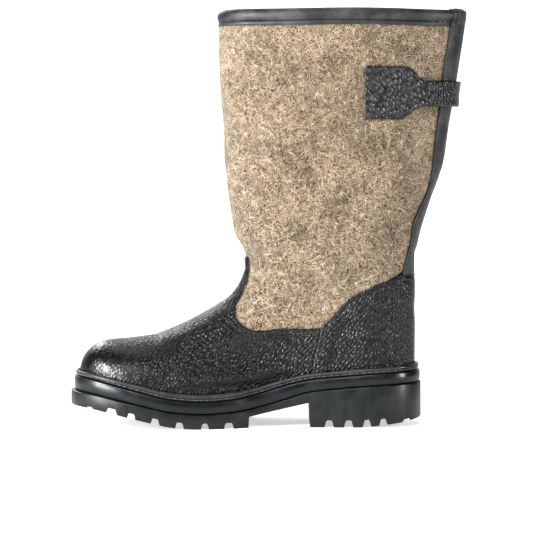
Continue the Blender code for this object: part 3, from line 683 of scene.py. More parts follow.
@dataclass(frozen=True)
class PebbledLeather:
    """Black grained leather: soft pebbles with fine creases between them."""

    name: str
    colour: Colour = (0.0030, 0.0029, 0.0027)
    # Paler colour painted on the pebble tops as a highlight.
    wear_and_highlight: Colour = (0.018, 0.0177, 0.0165)
    pebbles: float = 370.0
    depth: float = 0.60 * MM
    stretch: Colour = (1.0, 1.0, 0.7)
    turn: Colour = (0.0, math.radians(-42), 0.0)
    rough: float = 0.34
    toe_end: float = 0.115
    toe_share: float = 0.30

    def material(self) -> bpy.types.Material:
        """Pebbles between narrow creases, a finer grain on them, a painted highlight on the pebble tops
        and a slightly uneven gloss.
        """
        graph = Graph(self.name, 0.72)
        where = graph.mapped(self.stretch, self.turn, graph.bent(0.35 * MM, 240.0))
        large = graph.ramp(graph.cells(self.pebbles, where, 0.12), (0.12, 1.0), (0.62, 0.0))
        crease = graph.ramp(graph.creases(self.pebbles, where), (0.0, 0.0), (0.16, 1.0))
        fine = graph.noise(2600.0, 3.0, 0.6)
        height = graph.sum(graph.sum(large, 0.7), graph.sum(crease, 0.3), "ADD")
        toe = graph.sum(graph.sum(graph.along(graph.where), self.toe_end, "ADD"), 22.0)
        height = graph.sum(height, graph.ramp(toe, (0.0, self.toe_share), (1.0, 1.0)))
        relief = graph.bump(height, self.depth)
        relief = graph.bump(fine, 0.03 * MM, relief, 0.5)
        # Painted highlight: the pebble tops are mixed towards the paler colour, while the creases
        # between them stay black.
        colour = graph.mix(graph.sum(large, 0.6), self.colour, self.wear_and_highlight)
        gloss = graph.ramp(graph.noise(90.0, 3.0), (0.3, self.rough - 0.03), (0.7, self.rough + 0.05))
        return graph.dressed(colour, gloss, relief, 0.55)


@dataclass(frozen=True)
class SmoothLeather:
    """Dark grey leather with a fine grain and long soft wrinkles."""

    name: str
    colour: Colour = (0.023, 0.0235, 0.0245)
    wear_and_highlight: Colour = (0.075, 0.076, 0.079)
    grain: float = 950.0
    depth: float = 0.20 * MM
    rough: float = 0.42

    def material(self) -> bpy.types.Material:
        """Fine cells, a soft unevenness and paler worn patches."""
        graph = Graph(self.name)
        where = graph.bent(0.4 * MM, 700.0)
        grain = graph.ramp(graph.cells(self.grain, where), (0.05, 1.0), (0.8, 0.0))
        soft = graph.noise(150.0, 3.0, 0.5)
        patch = graph.ramp(graph.noise(60.0, 4.0, 0.6), (0.4, 0.0), (0.72, 1.0))
        relief = graph.bump(grain, self.depth)
        relief = graph.bump(soft, 0.5 * MM, relief, 0.5)
        gloss = graph.ramp(soft, (0.3, self.rough - 0.06), (0.7, self.rough + 0.1))
        return graph.dressed(graph.mix(patch, self.colour, self.wear_and_highlight), gloss, relief)


@dataclass(frozen=True)
class CutEdge:
    """The raw edge of cut leather, paler and matt."""

    name: str = "cut_edge"
    colour: Colour = (0.030, 0.028, 0.027)
    pale: Colour = (0.11, 0.105, 0.10)

    def material(self) -> bpy.types.Material:
        """A fibrous dark grey with paler flecks."""
        graph = Graph(self.name)
        flecks = graph.ramp(graph.noise(900.0, 4.0, 0.7), (0.4, 0.0), (0.7, 1.0))
        relief = graph.bump(flecks, 0.15 * MM)
        return graph.dressed(graph.mix(flecks, self.colour, self.pale), 0.75, relief)


@dataclass(frozen=True)
class MouldedRubber:
    """Charcoal moulded rubber, satin, with faint mould bloom and dust."""

    name: str
    colour: Colour = (0.0095, 0.0112, 0.0116)
    bloom: Colour = (0.021, 0.024, 0.025)
    rough: float = 0.40

    def material(self) -> bpy.types.Material:
        """A fine mould texture, cloudy bloom and uneven gloss."""
        graph = Graph(self.name)
        cloud = graph.ramp(graph.noise(48.0, 4.0, 0.6), (0.38, 0.0), (0.7, 1.0))
        fine = graph.noise(3000.0, 3.0, 0.6)
        soft = graph.noise(240.0, 3.0)
        relief = graph.bump(fine, 0.05 * MM, strength=0.7)
        relief = graph.bump(soft, 0.18 * MM, relief, 0.4)
        gloss = graph.ramp(cloud, (0.0, self.rough - 0.05), (1.0, self.rough + 0.12))
        return graph.dressed(graph.mix(cloud, self.colour, self.bloom), gloss, relief)


@dataclass(frozen=True)
class Thread:
    """Waxed sewing thread, twisted."""

    name: str
    colour: Colour
    pale: Colour

    def material(self) -> bpy.types.Material:
        """A twist across the thread and a slight change of shade."""
        graph = Graph(self.name)
        ply = graph.noise(2600.0, 2.0, 0.5)
        shade = graph.ramp(graph.noise(320.0, 2.0), (0.35, 0.0), (0.65, 1.0))
        relief = graph.bump(ply, 0.12 * MM)
        return graph.dressed(graph.mix(shade, self.colour, self.pale), 0.6, relief)


@dataclass(frozen=True)
class PressedWool:
    """The pale pressed wool of lining and insole."""

    name: str
    colour: Colour = shade_of(150, 139, 122)
    pale: Colour = shade_of(186, 176, 160)

    def material(self) -> bpy.types.Material:
        """A matt, fine mottled nap."""
        graph = Graph(self.name)
        nap = graph.noise(900.0, 5.0, 0.7, 1.0)
        mottle = graph.ramp(graph.noise(160.0, 4.0, 0.6), (0.35, 0.0), (0.65, 1.0))
        relief = graph.bump(nap, 0.6 * MM, strength=0.8)
        return graph.dressed(graph.mix(mottle, self.colour, self.pale), 0.95, relief, sheen=0.25)


class Side(Enum):
    """The two sides of the boot."""

    INNER = 1
    OUTER = -1

    def angle(self, angle: Array | float) -> Array | float:
        """An angle of the inner side, taken over to this side."""
        return angle if self is Side.INNER else TURN - angle


def lay(vertices: Sequence[bmesh.types.BMVert], places: Array) -> None:
    """Moves vertices to their places."""
    for vertex, place in zip(vertices, places):
        vertex.co = place


def as_object(name: str, shape: bmesh.types.BMesh) -> bpy.types.Object:
    """An object in the scene made from a bmesh, which is used up."""
    mesh = bpy.data.meshes.new(name)
    shape.to_mesh(mesh)
    shape.free()
    made = bpy.data.objects.new(name, mesh)
    bpy.context.scene.collection.objects.link(made)
    return made


def put_piece(
    name: str,
    shape: bmesh.types.BMesh,
    finishes: Sequence[bpy.types.Material],
    nodes: Sequence[str] = (),
    sharp: float = 40.0,
) -> bpy.types.Object:
    """Makes a piece from a bmesh, dresses it and lets it ride with the boot.

    Args:
        name: The piece's name.
        shape: Its shape, used up here.
        finishes: Its materials.
        nodes: CAD nodes that it stands for.
        sharp: Edges steeper than this many degrees stay sharp.

    Returns:
        The object.
    """
    piece = as_object(name, shape)
    for finish in finishes:
        piece.data.materials.append(finish)
    piece.data.shade_smooth()
    piece.data.set_sharp_from_angle(angle=math.radians(sharp))
    LOG.info("%s: %d faces", name, len(piece.data.polygons))
    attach(piece, "root")
    if nodes:
        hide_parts(*nodes)
    return piece


def flat_grid(columns: int, rows: int) -> tuple[bmesh.types.BMesh, Array, Array]:
    """A flat grid to be laid on a surface.

    Args:
        columns: Faces across.
        rows: Faces up.

    Returns:
        The grid, and each vertex's share of the way across and up.
    """
    shape = bmesh.new()
    shape.loops.layers.uv.new("UVMap")
    bmesh.ops.create_grid(shape, x_segments=columns, y_segments=rows, size=1.0, calc_uvs=True)
    flat = np.array([vertex.co[:2] for vertex in shape.verts])
    return shape, (flat[:, 0] + 1) / 2, (flat[:, 1] + 1) / 2


def walled(piece: bpy.types.Object, thickness: float, rim: int = 0) -> None:
    """Gives a piece a wall inwards of its outer face."""
    wall = piece.modifiers.new("wall", "SOLIDIFY")
    wall.thickness = thickness
    wall.offset = -1.0
    wall.material_offset_rim = rim


def eased(share: Array) -> Array:
    """A smooth step from 0 to 1."""
    held = np.clip(share, 0.0, 1.0)
    return held * held * (3 - 2 * held)


def crossing(holds: Callable[[Array], Array], low: Array, high: Array, samples: int = 240) -> Array:
    """Where a test first stops holding on the way from low to high, on many lines at once.

    Args:
        holds: The test, for one value on each line.
        low: Where each line starts.
        high: Where it ends.
        samples: Steps of the first search.

    Returns:
        One value for each line.
    """
    shares = np.linspace(0.0, 1.0, samples)
    found = np.array([holds(low + (high - low) * share) for share in shares])
    first = np.where(found.all(axis=0), samples - 1, np.argmin(found, axis=0))
    start = low + (high - low) * shares[np.maximum(first - 1, 0)]
    end = low + (high - low) * shares[first]
    for _ in range(16):
        middle = (start + end) / 2
        good = holds(middle)
        start, end = np.where(good, middle, start), np.where(good, end, middle)
    return (start + end) / 2


@dataclass(frozen=True)
class SideLine:
    """A leather edge as it is seen from the side, in shares of sole length and instep height."""

    corners: tuple[tuple[float, float], ...]

    def refined(self, last: Last, steps: int = 6) -> Array:
        """The smooth line through the corners, in the sole's own frame."""
        points = [
            np.array([last.sole.x(along), high * last.instep_height]) for along, high in self.corners
        ]
        points = [points[0]] + points + [points[-1]]
        line = []
        for before, here, there, beyond in zip(points, points[1:], points[2:], points[3:]):
            for step in range(steps):
                t = step / steps
                start, end = (there - before) / 2, (beyond - here) / 2
                point = (2 * t**3 - 3 * t**2 + 1) * here + (t**3 - 2 * t**2 + t) * start
                line.append(point + (3 * t**2 - 2 * t**3) * there + (t**3 - t**2) * end)
        return np.array(line + [points[-1]])


def inside(outline: Array, x: Array, z: Array) -> Array:
    """Whether points lie inside an outline seen from the side."""
    held = np.zeros(np.shape(x), dtype=bool)
    for (x0, z0), (x1, z1) in zip(outline, np.roll(outline, -1, axis=0)):
        if z0 == z1:
            continue
        over = (z0 > z) != (z1 > z)
        held ^= over & (x < x0 + (z - z0) * (x1 - x0) / (z1 - z0))
    return held


@dataclass(frozen=True)
class Strand:
    """A line on the last: its angles, levels and places."""

    angle: Array
    level: Array
    places: Array

    @classmethod
    def on(cls, last: Last, angle: Array, level: Array, pitch: float = 0.6 * MM) -> "Strand":
        """A line through angles and levels, resampled evenly.

        Args:
            last: The last it lies on.
            angle: Angles along it.
            level: Levels along it.
            pitch: Distance between its new points.

        Returns:
            The line.
        """
        places = last.place(angle, level)
        run = np.concatenate([[0.0], np.cumsum(np.linalg.norm(np.diff(places, axis=0), axis=1))])
        even = np.linspace(0.0, run[-1], max(3, int(run[-1] / pitch) + 1))
        angle, level = np.interp(even, run, angle), np.interp(even, run, level)
        return cls(angle, level, last.place(angle, level))

    def beside(self, last: Last, distance: float) -> "Strand":
        """The line a distance to its left on the surface, seen from outside.

        Args:
            last: The last it lies on.
            distance: How far, negative to the right.

        Returns:
            The line, settled on the last.
        """
        _, _, normal = last.slopes(self.angle, self.level)
        run = np.gradient(self.places, axis=0)
        left = np.cross(normal, run)
        left /= np.linalg.norm(left, axis=1, keepdims=True) + 1e-15
        angle, level = last.settle(self.places + distance * left, self.angle, self.level)
        return Strand.on(last, angle, level)

    def distance(self, places: Array) -> tuple[Array, Array]:
        """How far places are from the line, and how far along it the nearest point is.

        Args:
            places: Points on the last.

        Returns:
            Distances, and shares of the line's length.
        """
        near = np.empty(len(places))
        share = np.empty(len(places))
        for start in range(0, len(places), 4000):
            block = places[start : start + 4000]
            apart = np.linalg.norm(block[:, None] - self.places[None], axis=2)
            index = apart.argmin(axis=1)
            near[start : start + 4000] = apart[np.arange(len(block)), index]
            share[start : start + 4000] = index / (len(self.places) - 1)
        return near, share


@dataclass(frozen=True)
class Fold:
    """A soft trough, or a ridge where its depth is negative, placed on the last."""

    path: tuple[tuple[float, float], ...]
    width: float
    depth: float

    def push(self, last: Last, places: Array) -> Array:
        """Movement along the normal at each place, with a low lip on both sides.

        Args:
            last: The last it lies on.
            places: Points on the felt.

        Returns:
            Distances, outwards positive.
        """
        table = np.array(self.path)
        count = np.linspace(0, len(table) - 1, 12 * len(table))
        angle = np.radians(np.interp(count, np.arange(len(table)), table[:, 0]))
        level = np.interp(count, np.arange(len(table)), table[:, 1])
        line = Strand.on(last, angle, level, 1.2 * MM)
        near, share = line.distance(places)
        fade = np.sin(np.pi * np.clip(share, 0.02, 0.98)) ** 0.7
        trough = np.exp(-((near / self.width) ** 2))
        lip = np.exp(-((near / (2.3 * self.width)) ** 2))
        return -self.depth * fade * (1.25 * trough - 0.25 * lip)


def both_sides(*folds: Fold) -> tuple[Fold, ...]:
    """Folds of the inner side, each followed by its mirror image on the outer."""
    pairs = [(fold, replace(fold, path=tuple((360 - a, v) for a, v in fold.path))) for fold in folds]
    return tuple(fold for pair in pairs for fold in pair)


@dataclass(frozen=True)
class StitchRow:
    """A row of lock stitches along a line."""

    pitch: float = 3.6 * MM
    gap: float = 0.9 * MM
    thick: float = 0.62 * MM
    lift: float = 0.05 * MM

    def sew(self, shape: bmesh.types.BMesh, places: Array, normals: Array) -> None:
        """Adds the row's stitches to a bmesh.

        Args:
            shape: The bmesh that collects them.
            places: Close points along the line, on the surface they are sewn through.
            normals: The surface's normals there.
        """
        run = np.concatenate([[0.0], np.cumsum(np.linalg.norm(np.diff(places, axis=0), axis=1))])
        length = self.pitch - self.gap
        for start in np.arange(self.gap, run[-1] - length, self.pitch):
            first, second = (
                Vector([np.interp(at, run, places[:, axis]) for axis in range(3)])
                for at in (start, start + length)
            )
            middle = int(np.searchsorted(run, start + length / 2))
            up = Vector(normals[min(middle, len(normals) - 1)])
            along = (second - first).normalized()
            across = along.cross(up).normalized()
            centre = (first + second) / 2 + up * self.lift
            axes = (along * length / 2, across * self.thick / 2, up * self.thick / 2)
            made = bmesh.ops.create_uvsphere(shape, u_segments=6, v_segments=5, radius=1.0)
            for vertex in made["verts"]:
                x, y, z = vertex.co
                full = math.copysign(abs(z) ** 0.55, z)
                vertex.co = centre + axes[0] * full + axes[1] * x + axes[2] * y

    def put_rows(
        self, name: str, last: Last, rows: Sequence[Strand], outward: float, thread: Thread
    ) -> None:
        """Sews rows of stitches as one piece.

        Args:
            name: The piece's name.
            last: The last that carries the rows.
            rows: Their lines.
            outward: Distance of the sewn face outside the felt.
            thread: The thread's finish.
        """
        shape = bmesh.new()
        for line in rows:
            _, _, normal = last.slopes(line.angle, line.level)
            self.sew(shape, line.places + outward * normal, normal)
        put_piece(name, shape, (thread.material(),), sharp=180)


VAMP_EDGE = SideLine(
    (
        (0.4400, 1.082), (0.5070, 1.080), (0.5100, 1.025), (0.5075, 0.940), (0.4910, 0.844),
        (0.4735, 0.780), (0.4690, 0.722), (0.4780, 0.670), (0.5020, 0.630), (0.5300, 0.614),
        (0.5850, 0.620), (0.6450, 0.626), (0.7400, 0.626),
    )
)
COUNTER_EDGE = SideLine(
    (
        (0.676, 0.100), (0.676, 0.160), (0.689, 0.370), (0.6965, 0.460), (0.7080, 0.577),
        (0.7180, 0.647), (0.7430, 0.737), (0.7830, 0.809), (0.8220, 0.858), (0.8620, 0.903),
        (0.9060, 0.940), (0.9340, 0.975), (0.9520, 0.982),
    )
)


@dataclass
class FeltUpper:
    """The hollow felt body, its nap of loose fibres and its lining."""

    last: Last
    shaft_wall: float = 4.8 * MM
    foot_wall: float = 2.2 * MM
    tape_depth: float = 14 * MM
    edge_inset: float = 1.5 * MM
    around: int = 200
    up: int = 190
    fibres: int = 18500
    fibre_length: float = 6.0 * MM
    fibre_width: float = 0.26 * MM
    fold_at: float = 0.74
    even_rows: float = 0.25
    shaft_middle: float = 0.74
    lining_turn: float = 0.35
    nap_steps: int = 5
    nap_foot: float = 0.10 * MM
    curl: float = 3.2
    lengths: tuple[float, float] = (0.45, 1.35)
    widths: tuple[float, float] = (0.6, 1.25)
    lifts: tuple[float, float] = (0.15, 1.0)
    nap_seed: int = 11
    nap_lift: float = 0.35 * MM
    nap_from: float = 8.0
    folds: tuple[Fold, ...] = (
        *both_sides(Fold(((0, 13.2), (25, 13.4), (50, 13.5), (75, 13.3)), 7 * MM, 1.6 * MM)),
        Fold(((40, 15.2), (70, 15.6), (105, 15.4), (130, 14.8)), 12 * MM, 0.9 * MM),
        Fold(((320, 15.0), (290, 15.5), (255, 15.4), (230, 14.6)), 12 * MM, 0.9 * MM),
        *both_sides(
            Fold(((120, 16.4), (142, 16.7), (160, 16.6)), 9 * MM, -1.3 * MM),
            Fold(((95, 12.4), (120, 13.2), (140, 14.4), (156, 15.6)), 8 * MM, 0.8 * MM),
        ),
        Fold(((55, 18.0), (64, 20.0), (70, 22.2)), 15 * MM, -0.8 * MM),
        Fold(((100, 17.8), (104, 19.6), (103, 21.8)), 16 * MM, 0.9 * MM),
        Fold(((260, 17.6), (255, 19.6), (252, 21.9)), 16 * MM, 0.8 * MM),
        Fold(((296, 17.2), (300, 19.2), (305, 21.0)), 14 * MM, -0.7 * MM),
    )

    def wall_at(self, level: Array) -> Array:
        """Thickness of the felt at each level."""
        share = eased((level - 8.0) / 5.0)
        return self.foot_wall + (self.shaft_wall - self.foot_wall) * share

    def outer(self, angle: Array, level: Array) -> Array:
        """The felt's outer face with its folds, drawn in under the binding."""
        base = self.last.place(angle, level)
        push = sum(fold.push(self.last, base) for fold in self.folds)
        below = (self.last.boot_height - base[:, 2] - self.tape_depth) / (3 * MM)
        push = push * eased((level - 11.5) / 2.5) * eased(below - 0.5)
        return self.last.skin(angle, level, push - self.edge_inset * eased(-below))

    def build(self) -> None:
        """The hollow body, outside and inside in one sheet turned in at the top, and its nap."""
        shape, across, up = flat_grid(self.around, self.up)
        outside = up <= self.fold_at
        share = np.where(outside, up / self.fold_at, (1.0 - up) / (1.0 - self.fold_at))
        top = self.last.top_level - 0.1
        level = top * (self.even_rows * share + (1 - self.even_rows) * share**0.8)
        angle = TURN * across
        _, _, normal = self.last.slopes(angle, level)
        deep = np.where(outside, 0.0, self.wall_at(level))
        lay(shape.verts, self.outer(angle, level) - deep[:, None] * normal)
        bmesh.ops.remove_doubles(shape, verts=shape.verts, dist=1e-6)
        rims = [edge for edge in shape.edges if edge.is_boundary]
        bmesh.ops.bridge_loops(shape, edges=rims)
        for face in shape.faces:
            face.material_index = int(self.is_lining(face.calc_center_median(), face.normal))
        finishes = (WoolFelt().material(), PressedWool("felt_lining").material())
        put_piece("felt_upper", shape, finishes, ("upper",), sharp=80)
        self.nap("felt_fibres")

    def is_lining(self, place: Vector, normal: Vector) -> bool:
        """Whether a face looks inwards, towards the middle of the boot."""
        axis = self.last.shift[0] + self.last.sole.x(self.shaft_middle)
        inward = Vector((axis - place.x, -place.y, 0.0))
        below = place.z < self.last.boot_height - 2 * MM
        return below and normal.dot(inward) > self.lining_turn * inward.length

    def nap(self, name: str) -> None:
        """Curled flat fibres that lie on the felt, as one joined mesh.

        Args:
            name: The piece's name.
        """
        rng = np.random.default_rng(self.nap_seed)
        length = self.fibre_length
        angle = rng.uniform(0, TURN, 3 * self.fibres)
        level = rng.uniform(self.nap_from, self.last.top_level - 0.55, 3 * self.fibres)
        base = self.outer(angle, level)
        kept = np.flatnonzero(self.shows(angle, level))[: self.fibres]
        angle, level, base = angle[kept], level[kept], base[kept]
        along, _, normal = self.last.slopes(angle, level)
        along /= np.linalg.norm(along, axis=1, keepdims=True)
        up = np.cross(normal, along)
        heading = rng.uniform(0, TURN, len(kept))
        bend = rng.normal(0, 1.0, len(kept)) * self.curl / length
        reach = length * rng.uniform(*self.lengths, len(kept))
        steps = self.nap_steps
        width = self.fibre_width * rng.uniform(*self.widths, len(kept))
        raised = self.nap_lift * rng.uniform(*self.lifts, len(kept))
        spot = base + self.nap_foot * normal
        rails = []
        for step in range(steps + 1):
            share = step / steps
            ahead = np.cos(heading)[:, None] * along + np.sin(heading)[:, None] * up
            aside = -np.sin(heading)[:, None] * along + np.cos(heading)[:, None] * up
            thin = (width * (0.35 + 0.65 * math.sin(math.pi * min(max(share, 0.1), 0.9))))[:, None]
            arch = (raised * math.sin(math.pi * (0.15 + 0.75 * share)) ** 2)[:, None] * normal
            rails.append(spot + arch - aside * thin / 2)
            rails.append(spot + arch + aside * thin / 2)
            spot = spot + ahead * (reach / steps)[:, None]
            heading = heading + bend * reach / steps
        places = np.stack(rails, axis=1).reshape(-1, 3)
        first = (np.arange(len(kept)) * 2 * (steps + 1))[:, None, None]
        step = (2 * np.arange(steps))[None, :, None]
        faces = (first + step + np.array([0, 2, 3, 1])[None, None]).reshape(-1, 4)
        mesh = bpy.data.meshes.new(name)
        mesh.from_pydata(places.tolist(), [], faces.tolist())
        tone = np.clip(rng.beta(1.5, 1.1, len(kept)), 0.0, 1.0)
        uv = mesh.uv_layers.new(name="strand")
        values = np.repeat(np.stack([tone, np.zeros_like(tone)], axis=1), 4 * steps, axis=0)
        uv.data.foreach_set("uv", values.ravel())
        piece = bpy.data.objects.new(name, mesh)
        bpy.context.scene.collection.objects.link(piece)
        mesh.materials.append(WoolFibre(name).material())
        mesh.shade_smooth()
        LOG.info("%s: %d faces", name, len(mesh.polygons))
        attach(piece, "root")

    def shows(self, angle: Array, level: Array) -> Array:
        """Whether places on the felt are clear of all leather but a few hairs' reach."""
        base = self.last.place(angle, level) - self.last.shift
        x, z = base[:, 0], base[:, 2]
        clear = z < self.last.boot_height - self.tape_depth - 0.5 * MM
        leather = FootLeather(self.last)
        for outline in (
            leather.vamp_outline(), leather.counter_outline(), BackStrip(self.last).outline(),
        ):
            clear &= ~inside(outline, x, z)
        return clear


@dataclass
class FootLeather:
    """Vamp and counter: pebbled leather over the foot, with turned edges and stitch rows."""

    last: Last
    clearance: float = 0.35 * MM
    vamp_leather: float = 1.7 * MM
    counter_leather: float = 2.3 * MM
    edge_roll: float = 1.5 * MM
    counter_top: float = 0.982
    vamp_reach: float = 117.5
    counter_reach: float = 111.5
    foot_level: float = 0.05
    front_top: float = 6.6
    seam_inset: float = 2.6 * MM
    seam_apart: float = 3.0 * MM
    folds: tuple[Fold, ...] = (
        Fold(((62, 1.2), (74, 1.55), (84, 1.5), (92, 1.15)), 3.2 * MM, 0.9 * MM),
        Fold(((62, 1.5), (78, 1.9), (95, 1.9), (109, 1.5)), 7.0 * MM, -2.4 * MM),
        Fold(((58, 3.6), (76, 4.4), (96, 4.5), (112, 4.1)), 10.0 * MM, 1.7 * MM),
        *both_sides(
            Fold(((0, 7.2), (16, 7.1), (34, 6.6)), 6.0 * MM, 0.55 * MM),
            Fold(((0, 8.8), (14, 8.9), (27, 8.6)), 5.0 * MM, 0.5 * MM),
        ),
        Fold(((10, 10.3), (18, 10.6), (24, 10.5)), 5.0 * MM, -0.5 * MM),
        Fold(((44, 5.0), (56, 6.2), (64, 7.4)), 7.0 * MM, 0.5 * MM),
        Fold(((300, 1.3), (286, 1.6), (272, 1.3)), 3.4 * MM, 0.8 * MM),
        Fold(((302, 3.3), (284, 4.2), (262, 4.3), (248, 3.8)), 8.0 * MM, 0.8 * MM),
        Fold(((316, 5.2), (304, 6.2), (296, 7.2)), 7.0 * MM, 0.5 * MM),
        *both_sides(Fold(((138, 3.0), (150, 3.6), (166, 3.8)), 9.0 * MM, 0.5 * MM)),
        Fold(((150, 7.6), (166, 7.9), (180, 7.8), (194, 7.9), (210, 7.6)), 8.0 * MM, 0.5 * MM),
    )

    def vamp_outline(self) -> Array:
        """The vamp's area seen from the side, in the sole's own frame."""
        sole, high = self.last.sole, self.last.instep_height
        top = VAMP_EDGE.refined(self.last)
        start = np.array([[-sole.length, -high], [-sole.length, top[0, 1]]])
        end = np.array([[sole.x(0.80), top[-1, 1]], [sole.x(0.80), -high]])
        return np.concatenate([start, top, end])

    def counter_outline(self) -> Array:
        """The counter's area seen from the side, in the sole's own frame."""
        sole, high = self.last.sole, self.last.instep_height
        line = COUNTER_EDGE.refined(self.last)
        start = np.array([[line[0, 0], -high]])
        end = np.array([[sole.length, self.counter_top * high], [sole.length, -high]])
        return np.concatenate([start, line, end])

    def held_by(self, outline: Array, angle: Array, level: Array) -> Array:
        """Whether places on the last lie inside an outline."""
        base = self.last.place(angle, level) - self.last.shift
        return inside(outline, base[..., 0], base[..., 2])

    def top_levels(self, outline: Array, angle: Array, start: float = 0.05) -> Array:
        """Level at which each angle's line leaves an outline, upwards from a start."""
        low, high = np.full_like(angle, start), np.full_like(angle, 16.0)
        return crossing(lambda level: self.held_by(outline, angle, level), low, high)

    def vamp_line(self) -> Strand:
        """The vamp's top edge, from under the counter round the instep to the other side."""
        reach = math.radians(self.vamp_reach)
        angle = np.linspace(-reach, reach, 721)
        level = self.top_levels(self.vamp_outline(), angle)
        return Strand.on(self.last, angle, level)

    def counter_front(self, outline: Array, side: Side, level: Array) -> Array:
        """Angle of the counter's front edge on one side at each level.

        Args:
            outline: The counter seen from the side.
            side: Which side of the boot.
            level: Levels up the foot.

        Returns:
            One angle for each level.
        """
        turn = math.radians(self.counter_reach)
        return crossing(
            lambda angle: ~self.held_by(outline, angle, level),
            np.full_like(level, side.angle(turn - 0.45)), np.full_like(level, side.angle(turn + 0.9)),
        )

    def counter_line(self) -> Strand:
        """The counter's edge, up its inner front, over the back and down its outer front."""
        outline = self.counter_outline()
        level = np.linspace(self.foot_level, self.front_top, 60)
        inner, outer = (self.counter_front(outline, side, level) for side in Side)
        over = [np.linspace(inner[-1], math.pi, 160)[1:], np.linspace(math.pi, outer[-1], 160)[1:-1]]
        tops = [self.top_levels(outline, angle, level[-1]) for angle in over]
        angle = np.concatenate([inner, *over, outer[::-1]])
        return Strand.on(self.last, angle, np.concatenate([level, *tops, level[::-1]]))

    def relief(self, angle: Array, level: Array, edge: Strand, rows: Sequence[Strand]) -> Array:
        """Folds, the turned edge and the furrows of the stitch rows, as outward movement.

        Args:
            angle: Angles of the leather's vertices.
            level: Their levels.
            edge: The leather's free edge.
            rows: Its stitch rows.

        Returns:
            Distances, outwards positive.
        """
        base = self.last.place(angle, level)
        push = sum(fold.push(self.last, base) for fold in self.folds) * eased((level - 0.9) / 0.8)
        near, _ = edge.distance(base)
        push = push * eased(near / (9 * MM))
        push -= 0.75 * MM * np.clip(1 - near / self.edge_roll, 0, 1) ** 2
        for row in rows:
            near, _ = row.distance(base)
            push -= 0.28 * MM * np.exp(-((near / (0.7 * MM)) ** 2))
        return push

    def build_vamp(self, finish: bpy.types.Material, edge_finish: bpy.types.Material) -> list[Strand]:
        """Leather over toe, instep and sides.

        Args:
            finish: The leather's face.
            edge_finish: Its cut edge.

        Returns:
            Its stitch rows.
        """
        line = self.vamp_line()
        rows = [
            line.beside(self.last, -self.seam_inset - number * self.seam_apart) for number in (0, 1)
        ]
        shape, across, up = flat_grid(280, 130)
        reach = math.radians(self.vamp_reach)
        even = np.interp(across, np.linspace(0, 1, len(line.angle)), line.angle)
        angle = 0.6 * even + 0.4 * reach * (2 * across - 1)
        top = np.interp(angle, line.angle, line.level)
        level = self.foot_level + (top - self.foot_level) * (1 - (1 - up) ** 1.25)
        push = self.relief(angle, level, line, rows)
        near, _ = line.distance(self.last.place(angle, level))
        skived = 0.9 * MM * eased(1 - near / (7 * MM)) * eased((level - 9.0) / 3.0)
        outward = self.clearance + self.vamp_leather + push - skived
        lay(shape.verts, self.last.skin(angle, level, outward))
        piece = put_piece("vamp_leather", shape, (finish, edge_finish), ("vamp",), 60)
        walled(piece, 1.1 * MM, rim=1)
        return rows

    def spread(self, line: Strand, across: Array, up: Array) -> tuple[Array, Array]:
        """Angles and levels of a grid stretched between the counter's edge and the welt.

        Args:
            line: The counter's edge.
            across: Share of the way round, for each vertex.
            up: Share of the way up.

        Returns:
            Angles and levels.
        """
        table = np.stack([line.angle, line.level], axis=1)
        last = len(table) - 1
        corner = int(np.argmax(line.level > 6.4))
        other = last - int(np.argmax(line.level[::-1] > 6.4))

        def along(start: int, end: int, share: Array) -> Array:
            """Angle and level between two points of the edge."""
            place = start + (end - start) * share
            return np.stack([np.interp(place, np.arange(last + 1), table[:, k]) for k in (0, 1)], 1)

        u, v = across[:, None], up[:, None]
        left, right = along(0, corner, up), along(last, other, up)
        top, foot = along(corner, other, across), table[0] + (table[last] - table[0]) * u
        corners = (1 - u) * ((1 - v) * table[0] + v * table[corner])
        corners += u * ((1 - v) * table[last] + v * table[other])
        placed = (1 - v) * foot + v * top + (1 - u) * left + u * right - corners
        return placed[:, 0], placed[:, 1]

    def build_counter(
        self, finish: bpy.types.Material, edge_finish: bpy.types.Material
    ) -> list[Strand]:
        """Leather heel cover that laps over the vamp.

        Args:
            finish: The leather's face.
            edge_finish: Its cut edge.

        Returns:
            Its stitch rows.
        """
        line = self.counter_line()
        rows = [line.beside(self.last, -self.seam_inset)]
        shape, across, up = flat_grid(230, 120)
        angle, level = self.spread(line, across, up)
        push = self.relief(angle, level, line, rows)
        near, _ = line.distance(self.last.place(angle, level))
        lapped = eased((8.0 - level) / 1.5) * eased((14 * MM - near) / (6 * MM))
        drawn = eased((level - 7.0) / 1.5) * eased((9 * MM - near) / (9 * MM))
        outward = self.clearance + self.counter_leather + push + 0.9 * MM * lapped - 0.7 * MM * drawn
        lay(shape.verts, self.last.skin(angle, level, outward))
        finishes = (finish, edge_finish)
        piece = put_piece("counter_leather", shape, finishes, ("counter",), 60)
        walled(piece, 1.3 * MM, rim=1)
        return rows

    def build(self) -> None:
        """Both leather pieces and their stitches."""
        finish = PebbledLeather("pebbled_leather").material()
        edge_finish = CutEdge().material()
        vamp_rows = self.build_vamp(finish, edge_finish)
        counter_rows = self.build_counter(finish, edge_finish)
        kind = StitchRow(pitch=3.3 * MM, gap=1.0 * MM, thick=0.6 * MM)
        grey = Thread("vamp_thread", (0.045, 0.043, 0.045), (0.10, 0.095, 0.098))
        face = self.clearance + self.vamp_leather - 0.25 * MM
        kind.put_rows("vamp_stitches", self.last, vamp_rows, face, grey)
        black = Thread("counter_thread", (0.020, 0.020, 0.021), (0.040, 0.040, 0.042))
        face = self.clearance + self.counter_leather - 0.1 * MM
        kind.put_rows("counter_stitches", self.last, counter_rows, face, black)


